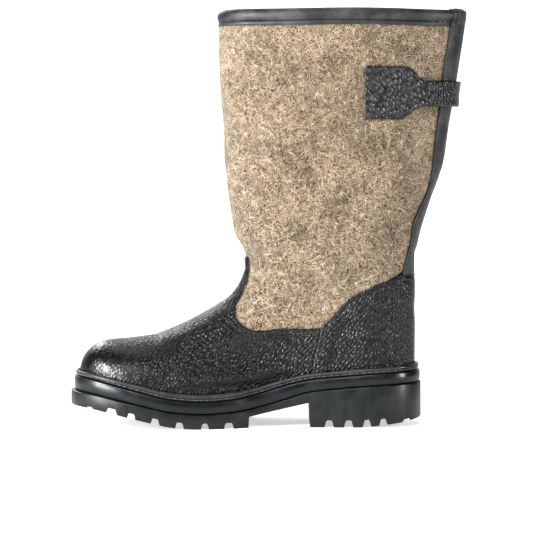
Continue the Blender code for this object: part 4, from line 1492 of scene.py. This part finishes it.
@dataclass
class BackStrip:
    """Smooth leather strip over the back seam, with its end folded over the collar."""

    last: Last
    leather: float = 1.8 * MM
    clearance: float = 0.35 * MM
    reach: float = 12 * MM
    counter_top: float = 0.982
    top_drop: float = 12 * MM
    seam_inset: float = 2.2 * MM
    highs: tuple[float, ...] = (
        0.0, 0.027, 0.075, 0.137, 0.200, 0.264, 0.323, 0.390, 0.457, 0.619, 0.859, 1.0,
    )
    reaches: tuple[float, ...] = (
        0.78, 0.66, 0.46, 0.47, 0.60, 0.47, 0.38, 0.55, 0.70, 0.80, 1.00, 0.97,
    )

    def ends(self) -> tuple[float, float]:
        """Height of its lower and upper end."""
        low = self.counter_top * self.last.instep_height
        return low, self.last.boot_height - self.top_drop

    def front_x(self, z: Array) -> Array:
        """Where its front edge runs, seen from the side, in the sole's own frame."""
        low, high = self.ends()
        _, back, _ = self.last.shaft_ends(np.maximum(self.last.rise(z), 0.0))
        share = (z - low) / (high - low)
        return back - self.reach * Curve.through(zip(self.highs, self.reaches)).at(share)

    def outline(self) -> Array:
        """Its area seen from the side."""
        z = np.linspace(*self.ends(), 60)
        z[-1] = self.last.boot_height
        line = np.stack([self.front_x(z), z], axis=1)
        far = self.last.sole.length
        return np.concatenate([line, [[far, z[-1]], [far, z[0]]]])

    def edge_angle(self, level: Array) -> Array:
        """Angle of its inner edge at each level."""

        def outside(angle: Array) -> Array:
            """Whether each place lies in front of the edge."""
            base = self.last.place(angle, level) - self.last.shift
            return base[..., 0] < self.front_x(base[..., 2])

        return crossing(outside, np.full_like(level, math.pi / 2), np.full_like(level, math.pi))

    def build(self) -> None:
        """The strip and its stitches; its folded end over the binding is made with the collar binding.
        """
        low, high = self.ends()
        heights = np.array([low - 1.5 * MM, high + 2 * MM])
        ends = self.last.level_at(np.full(2, math.pi), heights)
        table = np.linspace(ends[0], ends[1], 90)
        edge = self.edge_angle(table)
        shape, across, up = flat_grid(36, 220)
        level = ends[0] + (ends[1] - ends[0]) * up
        start = np.interp(level, table, edge)
        angle = start + (TURN - 2 * start) * across
        borders = [Strand.on(self.last, side.angle(edge), table) for side in Side]
        lines = [
            border.beside(self.last, -self.seam_inset * side.value)
            for border, side in zip(borders, Side)
        ]
        base = self.last.place(angle, level)
        near = np.minimum(*(border.distance(base)[0] for border in borders))
        outward = self.clearance + self.leather - 0.8 * MM * np.clip(1 - near / (1.6 * MM), 0, 1) ** 2
        for line in lines:
            outward = outward - 0.3 * MM * np.exp(-((line.distance(base)[0] / (0.8 * MM)) ** 2))
        lay(shape.verts, self.last.skin(angle, level, outward))
        finishes = (SmoothLeather("strip_leather_face").material(), CutEdge("strip_edge").material())
        piece = put_piece("back_strip_leather", shape, finishes, ("back_strip",), 60)
        walled(piece, self.leather, rim=1)
        kind = StitchRow(pitch=3.4 * MM, gap=1.0 * MM, thick=0.55 * MM)
        face = self.clearance + self.leather - 0.25 * MM
        thread = Thread("strip_thread", (0.003, 0.003, 0.003), (0.010, 0.010, 0.011))
        kind.put_rows("back_strip_stitches", self.last, lines, face, thread)


def profile_ring(
    last: Last, section: Sequence[tuple[float, float]], around: int, rise: Callable[[Array], Array]
) -> bmesh.types.BMesh:
    """A closed ring round the collar, bridged between circles.

    Args:
        last: The last it goes round.
        section: Outward distance and drop below the collar's top, round the section.
        around: Vertices in each circle.
        rise: Small change of height at each angle.

    Returns:
        The ring.
    """
    shape = bmesh.new()
    angle = TURN * np.arange(around) / around
    loops = []
    for outward, drop in section:
        made = bmesh.ops.create_circle(shape, cap_ends=False, segments=around, radius=1.0)
        z = np.full(around, last.boot_height - drop)
        places = last.skin(angle, last.shaft_level(z), outward)
        places[:, 2] = z + rise(angle)
        lay(made["verts"], places)
        loops.append(made["verts"])
    for here, there in zip(loops, loops[1:] + loops[:1]):
        edges = ring_edges(here) + ring_edges(there)
        bmesh.ops.bridge_loops(shape, edges=edges)
    bmesh.ops.recalc_face_normals(shape, faces=shape.faces)
    return shape


def ring_edges(vertices: Sequence[bmesh.types.BMVert]) -> list[bmesh.types.BMEdge]:
    """The edges that join a loop's own vertices."""
    own = set(vertices)
    edges = {edge for vertex in vertices for edge in vertex.link_edges if set(edge.verts) <= own}
    return sorted(edges, key=lambda edge: (edge.verts[0].index, edge.verts[1].index))


@dataclass
class CollarBinding:
    """Leather tape folded over the collar, with the back strip's end folded over its join."""

    last: Last
    tape: float = 1.4 * MM
    depth: float = 14 * MM
    proud: float = 0.2 * MM
    felt_edge: float = 3.0 * MM
    gap: float = 0.3 * MM
    fit: float = 0.5 * MM
    around: int = 300
    stitch_drop: float = 9.8 * MM
    end_reach: float = 7.0 * MM
    under_reach: float = 10.5 * MM

    def rise(self, angle: Array) -> Array:
        """The collar's slightly uneven top line."""
        return -0.5 * MM * (1 + np.cos(2 * angle)) - 0.25 * MM * (1 + np.cos(5 * angle + 0.7))

    def section(self) -> list[tuple[float, float]]:
        """The tape's section, down its outside and up its inside."""
        out, leg = self.proud, self.proud - self.tape
        inner = self.gap - leg + self.felt_edge + self.fit
        inmost = -inner - self.tape
        return [
            (out - 0.5 * MM, self.depth),
            (out - 0.05 * MM, self.depth - 0.5 * MM),
            (out + 0.1 * MM, self.depth - 1.6 * MM),
            (out + 0.3 * MM, self.stitch_drop + 1.6 * MM),
            (out - 0.1 * MM, self.stitch_drop + 0.6 * MM),
            (out - 0.5 * MM, self.stitch_drop),
            (out + 0.1 * MM, self.stitch_drop - 0.8 * MM),
            (out + 0.7 * MM, self.stitch_drop - 2.4 * MM),
            (out + 1.0 * MM, self.stitch_drop - 4.4 * MM),
            (out + 0.7 * MM, 3.2 * MM),
            (out - 0.25 * MM, 1.5 * MM),
            (out - 1.2 * MM, 0.5 * MM),
            (out - 2.5 * MM, 0.05 * MM),
            ((out + inmost) / 2, 0.0),
            (inmost + 2.2 * MM, 0.1 * MM),
            (inmost + 1.0 * MM, 0.7 * MM),
            (inmost + 0.2 * MM, 1.9 * MM),
            (inmost, 4.0 * MM),
            (inmost, self.depth - 0.6 * MM),
            (inmost + 0.5 * MM, self.depth),
            (-inner, self.depth - 0.3 * MM),
            (-inner, self.tape),
            (leg, self.tape),
            (leg, self.depth - 0.3 * MM),
        ]

    def build(self) -> None:
        """Tape, stitches and the folded end at the back."""
        shape = profile_ring(self.last, self.section(), self.around, self.rise)
        finish = SmoothLeather("binding_leather", grain=1100.0, depth=0.14 * MM).material()
        nodes = ("collar_binding",)
        put_piece("collar_binding_tape", shape, (finish,), nodes, 70)
        angle = np.linspace(0.0, TURN, 1200)
        z = self.last.boot_height - self.stitch_drop
        level = np.full_like(angle, self.last.shaft_level(z))
        _, _, normal = self.last.slopes(angle, level)
        places = self.last.skin(angle, level, self.proud - 0.3 * MM)
        places[:, 2] += self.rise(angle)
        stitches = bmesh.new()
        StitchRow(pitch=4.3 * MM, gap=1.5 * MM, thick=0.6 * MM).sew(stitches, places, normal)
        thread = Thread("binding_thread", (0.003, 0.003, 0.003), (0.008, 0.008, 0.008)).material()
        put_piece("collar_binding_stitches", stitches, (thread,), sharp=180)
        self.build_end("strip_end_under", self.under_reach, 0.9 * MM, self.depth + 0.5 * MM, finish)
        # A paler copy of the strip leather: its paler colour is a painted highlight where the folded
        # end on the collar's top catches the light.
        top = SmoothLeather("strip_end_leather", (0.045, 0.046, 0.050), (0.075, 0.076, 0.08))
        finish = top.material()
        self.build_end("strip_end_fold", self.end_reach, 1.7 * MM, self.depth + 1.2 * MM, finish)

    def build_end(
        self, name: str, reach: float, proud: float, drop: float, finish: bpy.types.Material
    ) -> None:
        """A tab of leather folded over the collar at the back.

        Args:
            name: The piece's name.
            reach: How far it reaches forward of the back line.
            proud: How far it stands off the tape.
            drop: How far down it comes outside.
            finish: Its finish.
        """
        out, leg = self.proud, self.proud - self.tape
        inmost = -(self.gap - leg + self.felt_edge + self.fit) - self.tape
        line = [
            (out + proud - 0.3 * MM, drop),
            (out + proud, drop - 0.6 * MM),
            (out + proud + 0.5 * MM, 7.0 * MM),
            (out + proud + 0.3 * MM, 2.6 * MM),
            (out + proud - 0.5 * MM, 0.8 * MM),
            (out - 1.6 * MM, -0.5 * proud),
            ((out + inmost) / 2, -0.75 * proud),
            (inmost + 1.6 * MM, -0.5 * proud),
            (inmost - proud + 0.6 * MM, 0.9 * MM),
            (inmost - proud, 3.0 * MM),
            (inmost - proud, drop - 0.6 * MM),
            (inmost - proud + 0.3 * MM, drop),
        ]
        shape, across, up = flat_grid(28, 66)
        run = np.linspace(0, 1, len(line))
        outward = np.interp(up, run, [point[0] for point in line])
        depth = np.interp(up, run, [point[1] for point in line])
        z = self.last.boot_height - depth
        first, back, _ = self.last.shaft_ends(np.ones(1))
        start = math.acos(1 - 2 * (1 - reach / float(back[0] - first[0])))
        angle = start + (TURN - 2 * start) * across
        places = self.last.skin(angle, self.last.shaft_level(z), outward)
        places[:, 2] = z + self.rise(angle)
        lay(shape.verts, places)
        walled(put_piece(name, shape, (finish,), sharp=70), 0.8 * proud)


@dataclass
class PullStrap:
    """A strap with a patch on each side of the shaft, joined round the back."""

    last: Last
    clearance: float = 0.35 * MM
    leather: float = 2.0 * MM
    width: float = 20.5 * MM
    drop: float = 69 * MM
    lift: float = 4.2 * MM
    patch_length: float = 31 * MM
    patch_height: float = 43 * MM
    from_back: float = 74 * MM
    neck: float = 0.17
    climb: float = 0.3
    corner: float = 2.5 * MM
    seam: float = 3.6 * MM

    @property
    def middle(self) -> float:
        """Height of its middle line."""
        return self.last.boot_height - self.drop

    @cached_property
    def fold_share(self) -> float:
        """Share of the way to the back at which the patch ends."""
        z = np.array([self.middle])
        front = self.last.shaft_ends(self.last.rise(z))[1] - self.from_back
        start = self.angle_at(front, z)
        fold = self.angle_at(front + self.patch_length, z)
        return float(((fold - start) / (math.pi - start))[0])

    def angle_at(self, x: Array, z: Array) -> Array:
        """Angle of the inner side at a place along X and a height, in the sole's own frame."""
        first, back, _ = self.last.shaft_ends(self.last.rise(z))
        return np.arccos(1 - 2 * np.clip((x - first) / (back - first), 0, 1))

    def place(self, share: Array, across: Array, extra: float = 0.0) -> tuple[Array, Array, Array]:
        """Places on the strap's outer face.

        Args:
            share: Way round, 0 at the inner patch's front, 1 at the back, 2 at the outer's.
            across: Way across, -1 to 1.
            extra: Distance above the face.

        Returns:
            Points, distance to the nearest edge and share of the way to the back.
        """
        inner = share <= 1
        way = np.where(inner, share, 2 - share)
        past = way - self.fold_share
        half = self.patch_height / 2 + (self.width - self.patch_height) / 2 * eased(past / self.neck)
        from_front = way * self.patch_length / self.fold_share
        short = np.clip(self.corner - from_front, 0, self.corner)
        half = half - (self.corner - np.sqrt(np.maximum(self.corner**2 - short**2, 0)))
        outward = self.clearance + (self.lift - self.clearance) * eased(past / self.climb)
        z = self.middle + half * across
        rise = self.last.rise(z)
        _, back, _ = self.last.shaft_ends(rise)
        _, level_back, _ = self.last.shaft_ends(np.full_like(rise, self.last.rise(self.middle)))
        upright = self.angle_at(level_back - self.from_back, z)
        leaning = self.angle_at(back - self.from_back, z)
        start = upright + (leaning - upright) * way
        angle = start + (math.pi - start) * way
        angle = np.where(inner, angle, TURN - angle)
        lower = 1.4 * MM * eased(past / self.climb) * eased((-across + 0.2) / 1.2)
        edge = np.minimum(half * (1 - np.abs(across)), from_front)
        rounded = 0.7 * MM * np.clip(1 - edge / (1.5 * MM), 0, 1) ** 2
        bulge = 0.5 * MM * np.exp(-(((way - 0.62) / 0.2) ** 2)) * (1 - across**2)
        total = outward + self.leather + lower + bulge - rounded + extra
        return self.last.skin(angle, self.last.shaft_level(z), total), edge, way

    def build(self) -> None:
        """The strap, its seams and its stitches."""
        shape, across, up = flat_grid(300, 34)
        share, side = 2 * across, 2 * up - 1
        _, edge, way = self.place(share, side)
        fold_at = self.fold_share
        furrow = np.exp(-(((edge - self.seam) / (0.75 * MM)) ** 2)) * (way < fold_at)
        fold = np.exp(-((((way - fold_at) * self.patch_length / fold_at) / (0.9 * MM)) ** 2))
        places, _, _ = self.place(share, side)
        pressed, _, _ = self.place(share, side, -1.0 * MM)
        deep = (0.32 * furrow + 0.75 * fold)[:, None]
        lay(shape.verts, places + (pressed - places) * deep)
        # The strap leather's pale grey pebble tops are a painted highlight.
        leather = PebbledLeather(
            "strap_pebbled_leather", pebbles=430.0, depth=0.70 * MM, stretch=(1.0, 1.0, 0.45),
            turn=(0.0, math.radians(30), 0.0), colour=(0.008, 0.008, 0.0085),
            wear_and_highlight=(0.10, 0.10, 0.102), rough=0.30,
        )
        finishes = (leather.material(), CutEdge("strap_edge").material())
        piece = put_piece("pull_strap", shape, finishes, ("strap",), 60)
        walled(piece, self.leather, rim=1)
        stitches = bmesh.new()
        for side_share in (0.0, 1.0):
            self.sew_patch(stitches, side_share, fold_at)
        thread = Thread("strap_thread", (0.016, 0.016, 0.017), (0.05, 0.05, 0.053)).material()
        put_piece("pull_strap_stitches", stitches, (thread,), sharp=180)

    def sew_patch(self, shape: bmesh.types.BMesh, outer: float, fold_at: float) -> None:
        """The seam round one patch and the row beside its fold.

        Args:
            shape: The bmesh that collects the stitches.
            outer: 0 on the inner side, 1 on the outer.
            fold_at: Share of the way to the back at which the patch ends.
        """
        front = self.seam * fold_at / self.patch_length
        high = 1 - 2 * self.seam / self.patch_height
        along = np.linspace(front, fold_at - 0.02, 60)
        upright = np.linspace(-high, high, 80)
        lines = [
            (along[::-1], np.full(60, high)),
            (np.full(80, front), -upright),
            (along, np.full(60, -high)),
            (np.full(80, fold_at + 0.02), upright),
        ]
        kind = StitchRow(pitch=3.0 * MM, gap=0.9 * MM, thick=0.55 * MM)
        for way, across in lines:
            share = way if outer == 0 else 2 - way
            places, _, _ = self.place(share, across, -0.22 * MM)
            above, _, _ = self.place(share, across, 0.78 * MM)
            kind.sew(shape, places, (above - places) / MM)


@dataclass
class SoleUnit:
    """Outsole, midsole, welt with its stitches, and insole."""

    last: Last
    around: int = 200
    full: Inset = Inset(0, 0, 0)
    midsole_edge: Inset = Inset(3.0 * MM, 1.6 * MM, 0.9 * MM)
    welt_edge: Inset = Inset(3.8 * MM, 2.2 * MM, 1.8 * MM)
    chamfer: float = 0.9 * MM
    gap: float = 0.3 * MM
    lug_depth: float = 5 * MM
    channel_width: float = 4 * MM
    channel_share: float = 0.42
    insole_thickness: float = 4 * MM
    foot_wall: float = 2.2 * MM
    insole_fit: float = 0.5 * MM
    leather_room: float = 2.95 * MM
    welt_recess: tuple[tuple[float, float], ...] = ((-1.3, 0.0), (-1.2, 1.0), (-1.0, 1.9), (-0.2, 2.3))
    welt_bead: tuple[tuple[float, float], ...] = (
        (0.0, -1.55), (-0.12, -1.0), (0.15, -0.5), (0.5, -0.15), (0.9, 0.0),
    )
    tool_foot: float = -0.03
    groove_round: float = 1.0 * MM
    rounded_from: float = 0.6
    channel_steps: int = 15
    channel_depth: float = 0.92
    edge_round: float = 0.45 * MM
    edge_turn: float = 38.0
    draft: float = 0.28
    lug_gaps: tuple[tuple[float, float, float], ...] = (
        (0.0600, 0.018, 0.30), (0.1230, 0.032, 0.90), (0.1790, 0.025, 0.90), (0.2460, 0.026, 1.00),
        (0.3140, 0.025, 1.00), (0.3850, 0.023, 1.00), (0.4520, 0.028, 1.00), (0.7350, 0.027, 1.20),
        (0.7900, 0.027, 1.20), (0.8420, 0.025, 1.20), (0.8880, 0.024, 1.10), (0.9550, 0.022, 0.42),
    )
    forefoot_end: float = 0.507
    breast_top: float = 0.678
    breast_foot: float = 0.686
    waist_front: float = 9.0 * MM
    waist_back: float = 20.2 * MM
    channels: tuple[tuple[float, float], ...] = ((0.075, 0.527), (0.666, 0.925))

    def loop(self, inset: Inset, height: Callable[[Array], Array], lift: float = 0.0) -> Array:
        """A loop with the sole's outline, in the row's frame."""
        angle = TURN * np.arange(self.around) / self.around
        x, y = self.last.sole.outline(angle, inset)
        return np.stack([x, y, height(x) + lift], axis=1) + self.last.shift

    def stack(self, edge: Inset, *rows: tuple[float, Callable[[Array], Array], float]) -> list[Array]:
        """Loops of one outline, each with how much further in it lies, its height and its lift."""
        return [self.loop(edge.by(more), height, lift) for more, height, lift in rows]

    def grown(self, loop: Array, outward: float) -> Array:
        """A loop moved outwards in plan."""
        run = np.roll(loop, -1, axis=0) - np.roll(loop, 1, axis=0)
        normal = np.stack([run[:, 1], -run[:, 0], np.zeros(len(run))], axis=1)
        return loop + outward * normal / np.linalg.norm(normal, axis=1, keepdims=True)

    def lofted(self, loops: Sequence[Array], closed: bool) -> bmesh.types.BMesh:
        """Bridges circles laid on loops.

        Args:
            loops: The loops' points.
            closed: Whether the last joins the first; otherwise both ends are closed by a grid.

        Returns:
            The shape.
        """
        shape = bmesh.new()
        rings = []
        for loop in loops:
            made = bmesh.ops.create_circle(shape, cap_ends=False, segments=len(loop), radius=1.0)
            lay(made["verts"], loop)
            rings.append(made["verts"])
        pairs = list(zip(rings, rings[1:]))
        if closed:
            pairs.append((rings[-1], rings[0]))
        for here, there in pairs:
            bmesh.ops.bridge_loops(shape, edges=ring_edges(here) + ring_edges(there))
        if not closed:
            for ring in (rings[0], rings[-1]):
                self.rungs(shape, ring)
        bmesh.ops.recalc_face_normals(shape, faces=shape.faces)
        return shape

    def rungs(self, shape: bmesh.types.BMesh, ring: Sequence[bmesh.types.BMVert]) -> None:
        """Closes a ring with faces that run straight across it."""
        bmesh.ops.contextual_create(shape, geom=ring_edges(ring))
        face = max(shape.faces, key=lambda item: len(item.verts))
        count = len(ring)
        for index in range(1, count // 2):
            vertices = (ring[index], ring[count - index])
            owner = next(item for item in vertices[0].link_faces if vertices[1] in item.verts[:])
            if owner is face or len(owner.verts) > 4:
                bmesh.utils.face_split(owner, *vertices)

    def build(self) -> None:
        """All the pieces under the upper."""
        self.build_outsole()
        sole, full, slit = self.last.sole, self.chamfer, self.gap / 2
        loops = self.stack(
            self.midsole_edge,
            (full, sole.groove_z, slit),
            (0.35 * full, sole.groove_z, 0.3 * full + slit),
            (0.0, sole.groove_z, full + slit),
            (-0.35 * full, lambda x: (sole.groove_z(x) + sole.seat_z(x)) / 2, 0.0),
            (0.0, sole.seat_z, -full),
            (0.35 * full, sole.seat_z, -0.3 * full),
            (full, sole.seat_z, 0.0),
        )
        rubber = MouldedRubber("midsole_rubber", (0.0085, 0.0105, 0.0115), (0.016, 0.019, 0.021), 0.30)
        shape = self.lofted(loops, closed=False)
        put_piece("midsole_band", shape, (rubber.material(),), ("midsole",), 50)
        self.build_welt()
        thick, seat = self.insole_thickness, self.last.seat_gap
        loops = self.stack(
            FELT_EDGE.by(self.foot_wall + self.insole_fit),
            (0.0, sole.seat_z, seat),
            (0.0, sole.seat_z, 0.6 * thick + seat),
            (0.12 * thick, sole.seat_z, 0.88 * thick + seat),
            (0.35 * thick, sole.seat_z, thick + seat),
        )
        wool = PressedWool("insole_wool", shade_of(128, 118, 104), shade_of(160, 150, 132))
        shape = self.lofted(loops, closed=False)
        put_piece("insole_board", shape, (wool.material(),), ("insole",), 50)

    def build_welt(self) -> None:
        """The rolled rim with its stitches in the furrow under it."""
        sole, edge = self.last.sole, self.welt_edge
        clear = self.leather_room
        bead = 0.3 * sole.welt_height
        seat = self.last.seat_gap
        low = self.loop(FELT_EDGE, sole.seat_z, seat)
        high = self.loop(FELT_EDGE, sole.rim_z, -0.1 * sole.welt_height)
        middle = self.loop(edge, sole.seat_z, seat)
        loops = [
            self.grown(low, clear),
            *(self.grown(middle, out * MM) + [0, 0, up * MM] for out, up in self.welt_recess),
            *self.stack(edge, *((more * bead, sole.rim_z, up * bead) for more, up in self.welt_bead)),
            self.grown(high, clear),
        ]
        shape = self.lofted(loops, closed=True)
        rubber = MouldedRubber("welt_rubber", (0.024, 0.0235, 0.022), (0.062, 0.058, 0.052), 0.32)
        put_piece("welt_rim", shape, (rubber.material(),), ("welt",), 60)
        line = self.grown(middle, -0.75 * MM) + [0, 0, 1.05 * MM]
        line = np.concatenate([line, line[:1]])
        count = np.linspace(0, len(line) - 1, 2400)
        line = np.stack([np.interp(count, np.arange(len(line)), line[:, k]) for k in range(3)], axis=1)
        run = np.gradient(line, axis=0)
        normal = np.stack([run[:, 1], -run[:, 0], 0 * run[:, 0]], axis=1)
        normal /= np.linalg.norm(normal, axis=1, keepdims=True)
        stitches = bmesh.new()
        StitchRow(pitch=5.3 * MM, gap=2.0 * MM, thick=0.85 * MM).sew(stitches, line, normal)
        thread = Thread("welt_thread", (0.06, 0.062, 0.062), (0.17, 0.175, 0.175)).material()
        put_piece("welt_stitches", stitches, (thread,), sharp=180)

    def prism(self, corners: Sequence[tuple[float, float]], name: str) -> bpy.types.Object:
        """A cutter with an outline seen from the side, its upper corners rounded."""
        shape = bmesh.new()
        reach = self.last.sole.ball_width
        vertices = [shape.verts.new((x + self.last.shift[0], -reach, z)) for x, z in corners]
        bmesh.ops.contextual_create(shape, geom=vertices)
        made = bmesh.ops.extrude_face_region(shape, geom=shape.faces[:])
        moved = [item for item in made["geom"] if isinstance(item, bmesh.types.BMVert)]
        bmesh.ops.translate(shape, verts=moved, vec=(0, 2 * reach, 0))
        top = max(z for _, z in corners)
        low = min(z for _, z in corners)
        long_edges = [
            edge for edge in shape.edges
            if abs(edge.verts[0].co.y - edge.verts[1].co.y) > reach
            and edge.verts[0].co.z > low + self.rounded_from * (top - low)
        ]
        bmesh.ops.bevel(
            shape, geom=long_edges, offset=self.groove_round, offset_type="OFFSET", segments=3,
            profile=0.5, affect="EDGES", material=-1,
        )
        bmesh.ops.recalc_face_normals(shape, faces=shape.faces)
        return as_object(name, shape)

    def channel(self, first: float, last: float, side: float, name: str) -> bpy.types.Object:
        """The cutter of a channel along the tread, swept by bridged squares."""
        shape = bmesh.new()
        sole = self.last.sole
        rings = []
        half, deep = self.channel_width / 2, self.channel_depth * self.lug_depth
        for x in np.linspace(sole.x(first), sole.x(last), self.channel_steps):
            at = np.array([x])
            reach = self.channel_share * sole.half_width(at, self.full)[0]
            y = sole.centre_curve.at(at)[0] + side * reach
            z = sole.tread_z(at)[0]
            made = bmesh.ops.create_circle(shape, cap_ends=False, segments=4, radius=1.0)
            corners = [
                (x, y - half, z - deep), (x, y + half, z - deep), (x, y + half, z + deep),
                (x, y - half, z + deep),
            ]
            lay(made["verts"], np.array(corners) + self.last.shift)
            rings.append(made["verts"])
        for here, there in zip(rings, rings[1:]):
            bmesh.ops.bridge_loops(shape, edges=ring_edges(here) + ring_edges(there))
        for ring in (rings[0], rings[-1]):
            bmesh.ops.contextual_create(shape, geom=ring_edges(ring))
        bmesh.ops.recalc_face_normals(shape, faces=shape.faces)
        return as_object(name, shape)

    def build_outsole(self) -> None:
        """Outsole and heel in one block, cut between its lugs, with softened edges."""
        sole, full, slit = self.last.sole, self.chamfer, self.gap / 2
        loops = self.stack(
            self.full,
            (full, sole.tread_z, 0.0),
            (0.3 * full, sole.tread_z, 0.35 * full),
            (0.0, sole.tread_z, 1.2 * full),
            (0.0, sole.groove_z, -1.3 * full - slit),
            (0.2 * full, sole.groove_z, -0.5 * full - slit),
            (full, sole.groove_z, -slit),
        )
        block = as_object("outsole_block", self.lofted(loops, closed=False))
        waist = [
            (sole.x(self.forefoot_end), self.tool_foot),
            (sole.x(self.forefoot_end), self.waist_front),
            (sole.x(self.breast_top), self.waist_back),
            (sole.x(self.breast_foot), self.tool_foot),
        ]
        tools = [self.prism(waist, "waist_tool")]
        for number, (along, width, depth) in enumerate(self.lug_gaps):
            middle, half, deep = sole.x(along), width * sole.length / 2, depth * self.lug_depth
            spread = self.draft * deep
            corners = []
            for across, down in (
                (-half - spread, -deep), (half + spread, -deep),
                (half - spread, deep), (spread - half, deep),
            ):
                x = middle + across
                corners.append((x, float(sole.tread_z(np.array(x))) + down))
            tools.append(self.prism(corners, f"gap_tool_{number}"))
        for number, (first, last) in enumerate(self.channels):
            for side in (-1.0, 1.0):
                tools.append(self.channel(first, last, side, f"channel_tool_{number}_{side:.0f}"))
        for tool in tools:
            change = block.modifiers.new(tool.name, "BOOLEAN")
            change.operation = "DIFFERENCE"
            change.object = tool
            change.solver = "EXACT"
        soft = block.modifiers.new("soft_edges", "BEVEL")
        soft.width = self.edge_round
        soft.segments = 2
        soft.limit_method = "ANGLE"
        soft.angle_limit = math.radians(self.edge_turn)
        graph = bpy.context.evaluated_depsgraph_get()
        shape = bmesh.new()
        shape.from_mesh(block.evaluated_get(graph).to_mesh())
        for tool in [block, *tools]:
            bpy.data.objects.remove(tool, do_unlink=True)
        finishes = (MouldedRubber("outsole_rubber").material(),)
        put_piece("outsole_tread", shape, finishes, ("outsole",), self.edge_turn)


@dataclass
class Studio:
    """Floor, backdrop light and camera."""

    view_from: tuple[float, float, float] = (0.0010, -2.25, 0.257)
    aim: tuple[float, float, float] = (0.0010, 0.0, 0.1283)
    lens: float = 181.8
    sensor: float = 36.0
    sky_front: float = 0.05
    sky_back: float = 1.05
    sky_turn: float = 0.55

    def floor(self) -> None:
        """A round pale floor."""
        shape = bmesh.new()
        bmesh.ops.create_circle(shape, cap_ends=True, cap_tris=True, segments=96, radius=1.6)
        floor = as_object("studio_floor", shape)
        graph = Graph("pale_floor")
        cloud = graph.ramp(graph.noise(3.0, 2.0), (0.3, 0.0), (0.7, 1.0))
        graph.shader.inputs["Emission Color"].default_value = (1, 1, 1, 1)
        graph.shader.inputs["Emission Strength"].default_value = 0.42
        floor.data.materials.append(graph.dressed(graph.mix(cloud, (0.70,) * 3, (0.72,) * 3), 0.8))

    def sky(self) -> None:
        """Plain soft light from all round, brightest behind the boot."""
        world = bpy.data.worlds.new("studio_white")
        world.use_nodes = True
        tree = world.node_tree
        where = tree.nodes.new("ShaderNodeTexCoord").outputs["Generated"]
        split = tree.nodes.new("ShaderNodeSeparateXYZ")
        tree.links.new(where, split.inputs[0])
        bright = tree.nodes.new("ShaderNodeMapRange")
        bright.interpolation_type = "SMOOTHSTEP"
        tree.links.new(split.outputs["Y"], bright.inputs["Value"])
        bright.inputs["From Min"].default_value = self.sky_turn
        bright.inputs["From Max"].default_value = 0.97
        bright.inputs["To Min"].default_value = self.sky_front
        bright.inputs["To Max"].default_value = self.sky_back
        ground = tree.nodes["Background"]
        ground.inputs["Color"].default_value = (1, 1, 1, 1)
        tree.links.new(bright.outputs["Result"], ground.inputs["Strength"])
        bpy.context.scene.world = world

    def softbox(
        self, name: str, place: Colour, target: Colour, size: tuple[float, float], power: float
    ) -> None:
        """A rectangular soft light.

        Args:
            name: The light's name.
            place: Where it stands.
            target: What it points at.
            size: Its width and height.
            power: Its power in watts.
        """
        light = bpy.data.lights.new(name, "AREA")
        light.shape = "RECTANGLE"
        light.size, light.size_y = size
        light.energy = power
        lamp = bpy.data.objects.new(name, light)
        lamp.location = place
        lamp.rotation_euler = (Vector(target) - Vector(place)).to_track_quat("-Z", "Y").to_euler()
        bpy.context.scene.collection.objects.link(lamp)

    def build(self) -> None:
        """Sets floor, lights, sky and camera."""
        self.floor()
        self.sky()
        centre = (0.0, 0.0, 0.14)
        self.softbox("left_softbox", (-1.7, -1.1, 0.55), centre, (0.6, 0.8), 64)
        self.softbox("right_softbox", (1.6, -0.7, 0.5), centre, (0.22, 0.8), 15)
        self.softbox("top_softbox", (0.0, 0.3, 1.9), (0.0, 0.15, 0.0), (1.2, 0.9), 10)
        self.softbox("front_softbox", (-0.3, -1.5, 1.15), centre, (0.6, 0.22), 13)
        self.softbox("rim_softbox", (-0.75, 1.5, 1.1), centre, (0.5, 0.5), 8)
        bpy.context.scene.view_settings.view_transform = "Standard"
        bpy.context.scene.view_settings.look = "High Contrast"
        camera = bpy.data.cameras.new("photo_camera")
        camera.lens = self.lens
        camera.sensor_width = self.sensor
        camera.clip_start, camera.clip_end = 0.05, 50
        stand = bpy.data.objects.new("photo_camera", camera)
        stand.location = self.view_from
        sight = Vector(self.aim) - Vector(self.view_from)
        stand.rotation_euler = sight.to_track_quat("-Z", "Y").to_euler()
        bpy.context.scene.collection.objects.link(stand)
        bpy.context.scene.camera = stand


def main() -> None:
    """Builds the boot's sub-assemblies in order and reports each."""
    logging.basicConfig(level=logging.INFO, format="%(message)s")
    Studio().build()
    last = Last()
    for kind in (SoleUnit, FeltUpper, FootLeather, BackStrip, CollarBinding, PullStrap):
        LOG.info("building %s", kind.__name__)
        kind(last).build()


if __name__ == "__main__":
    main()
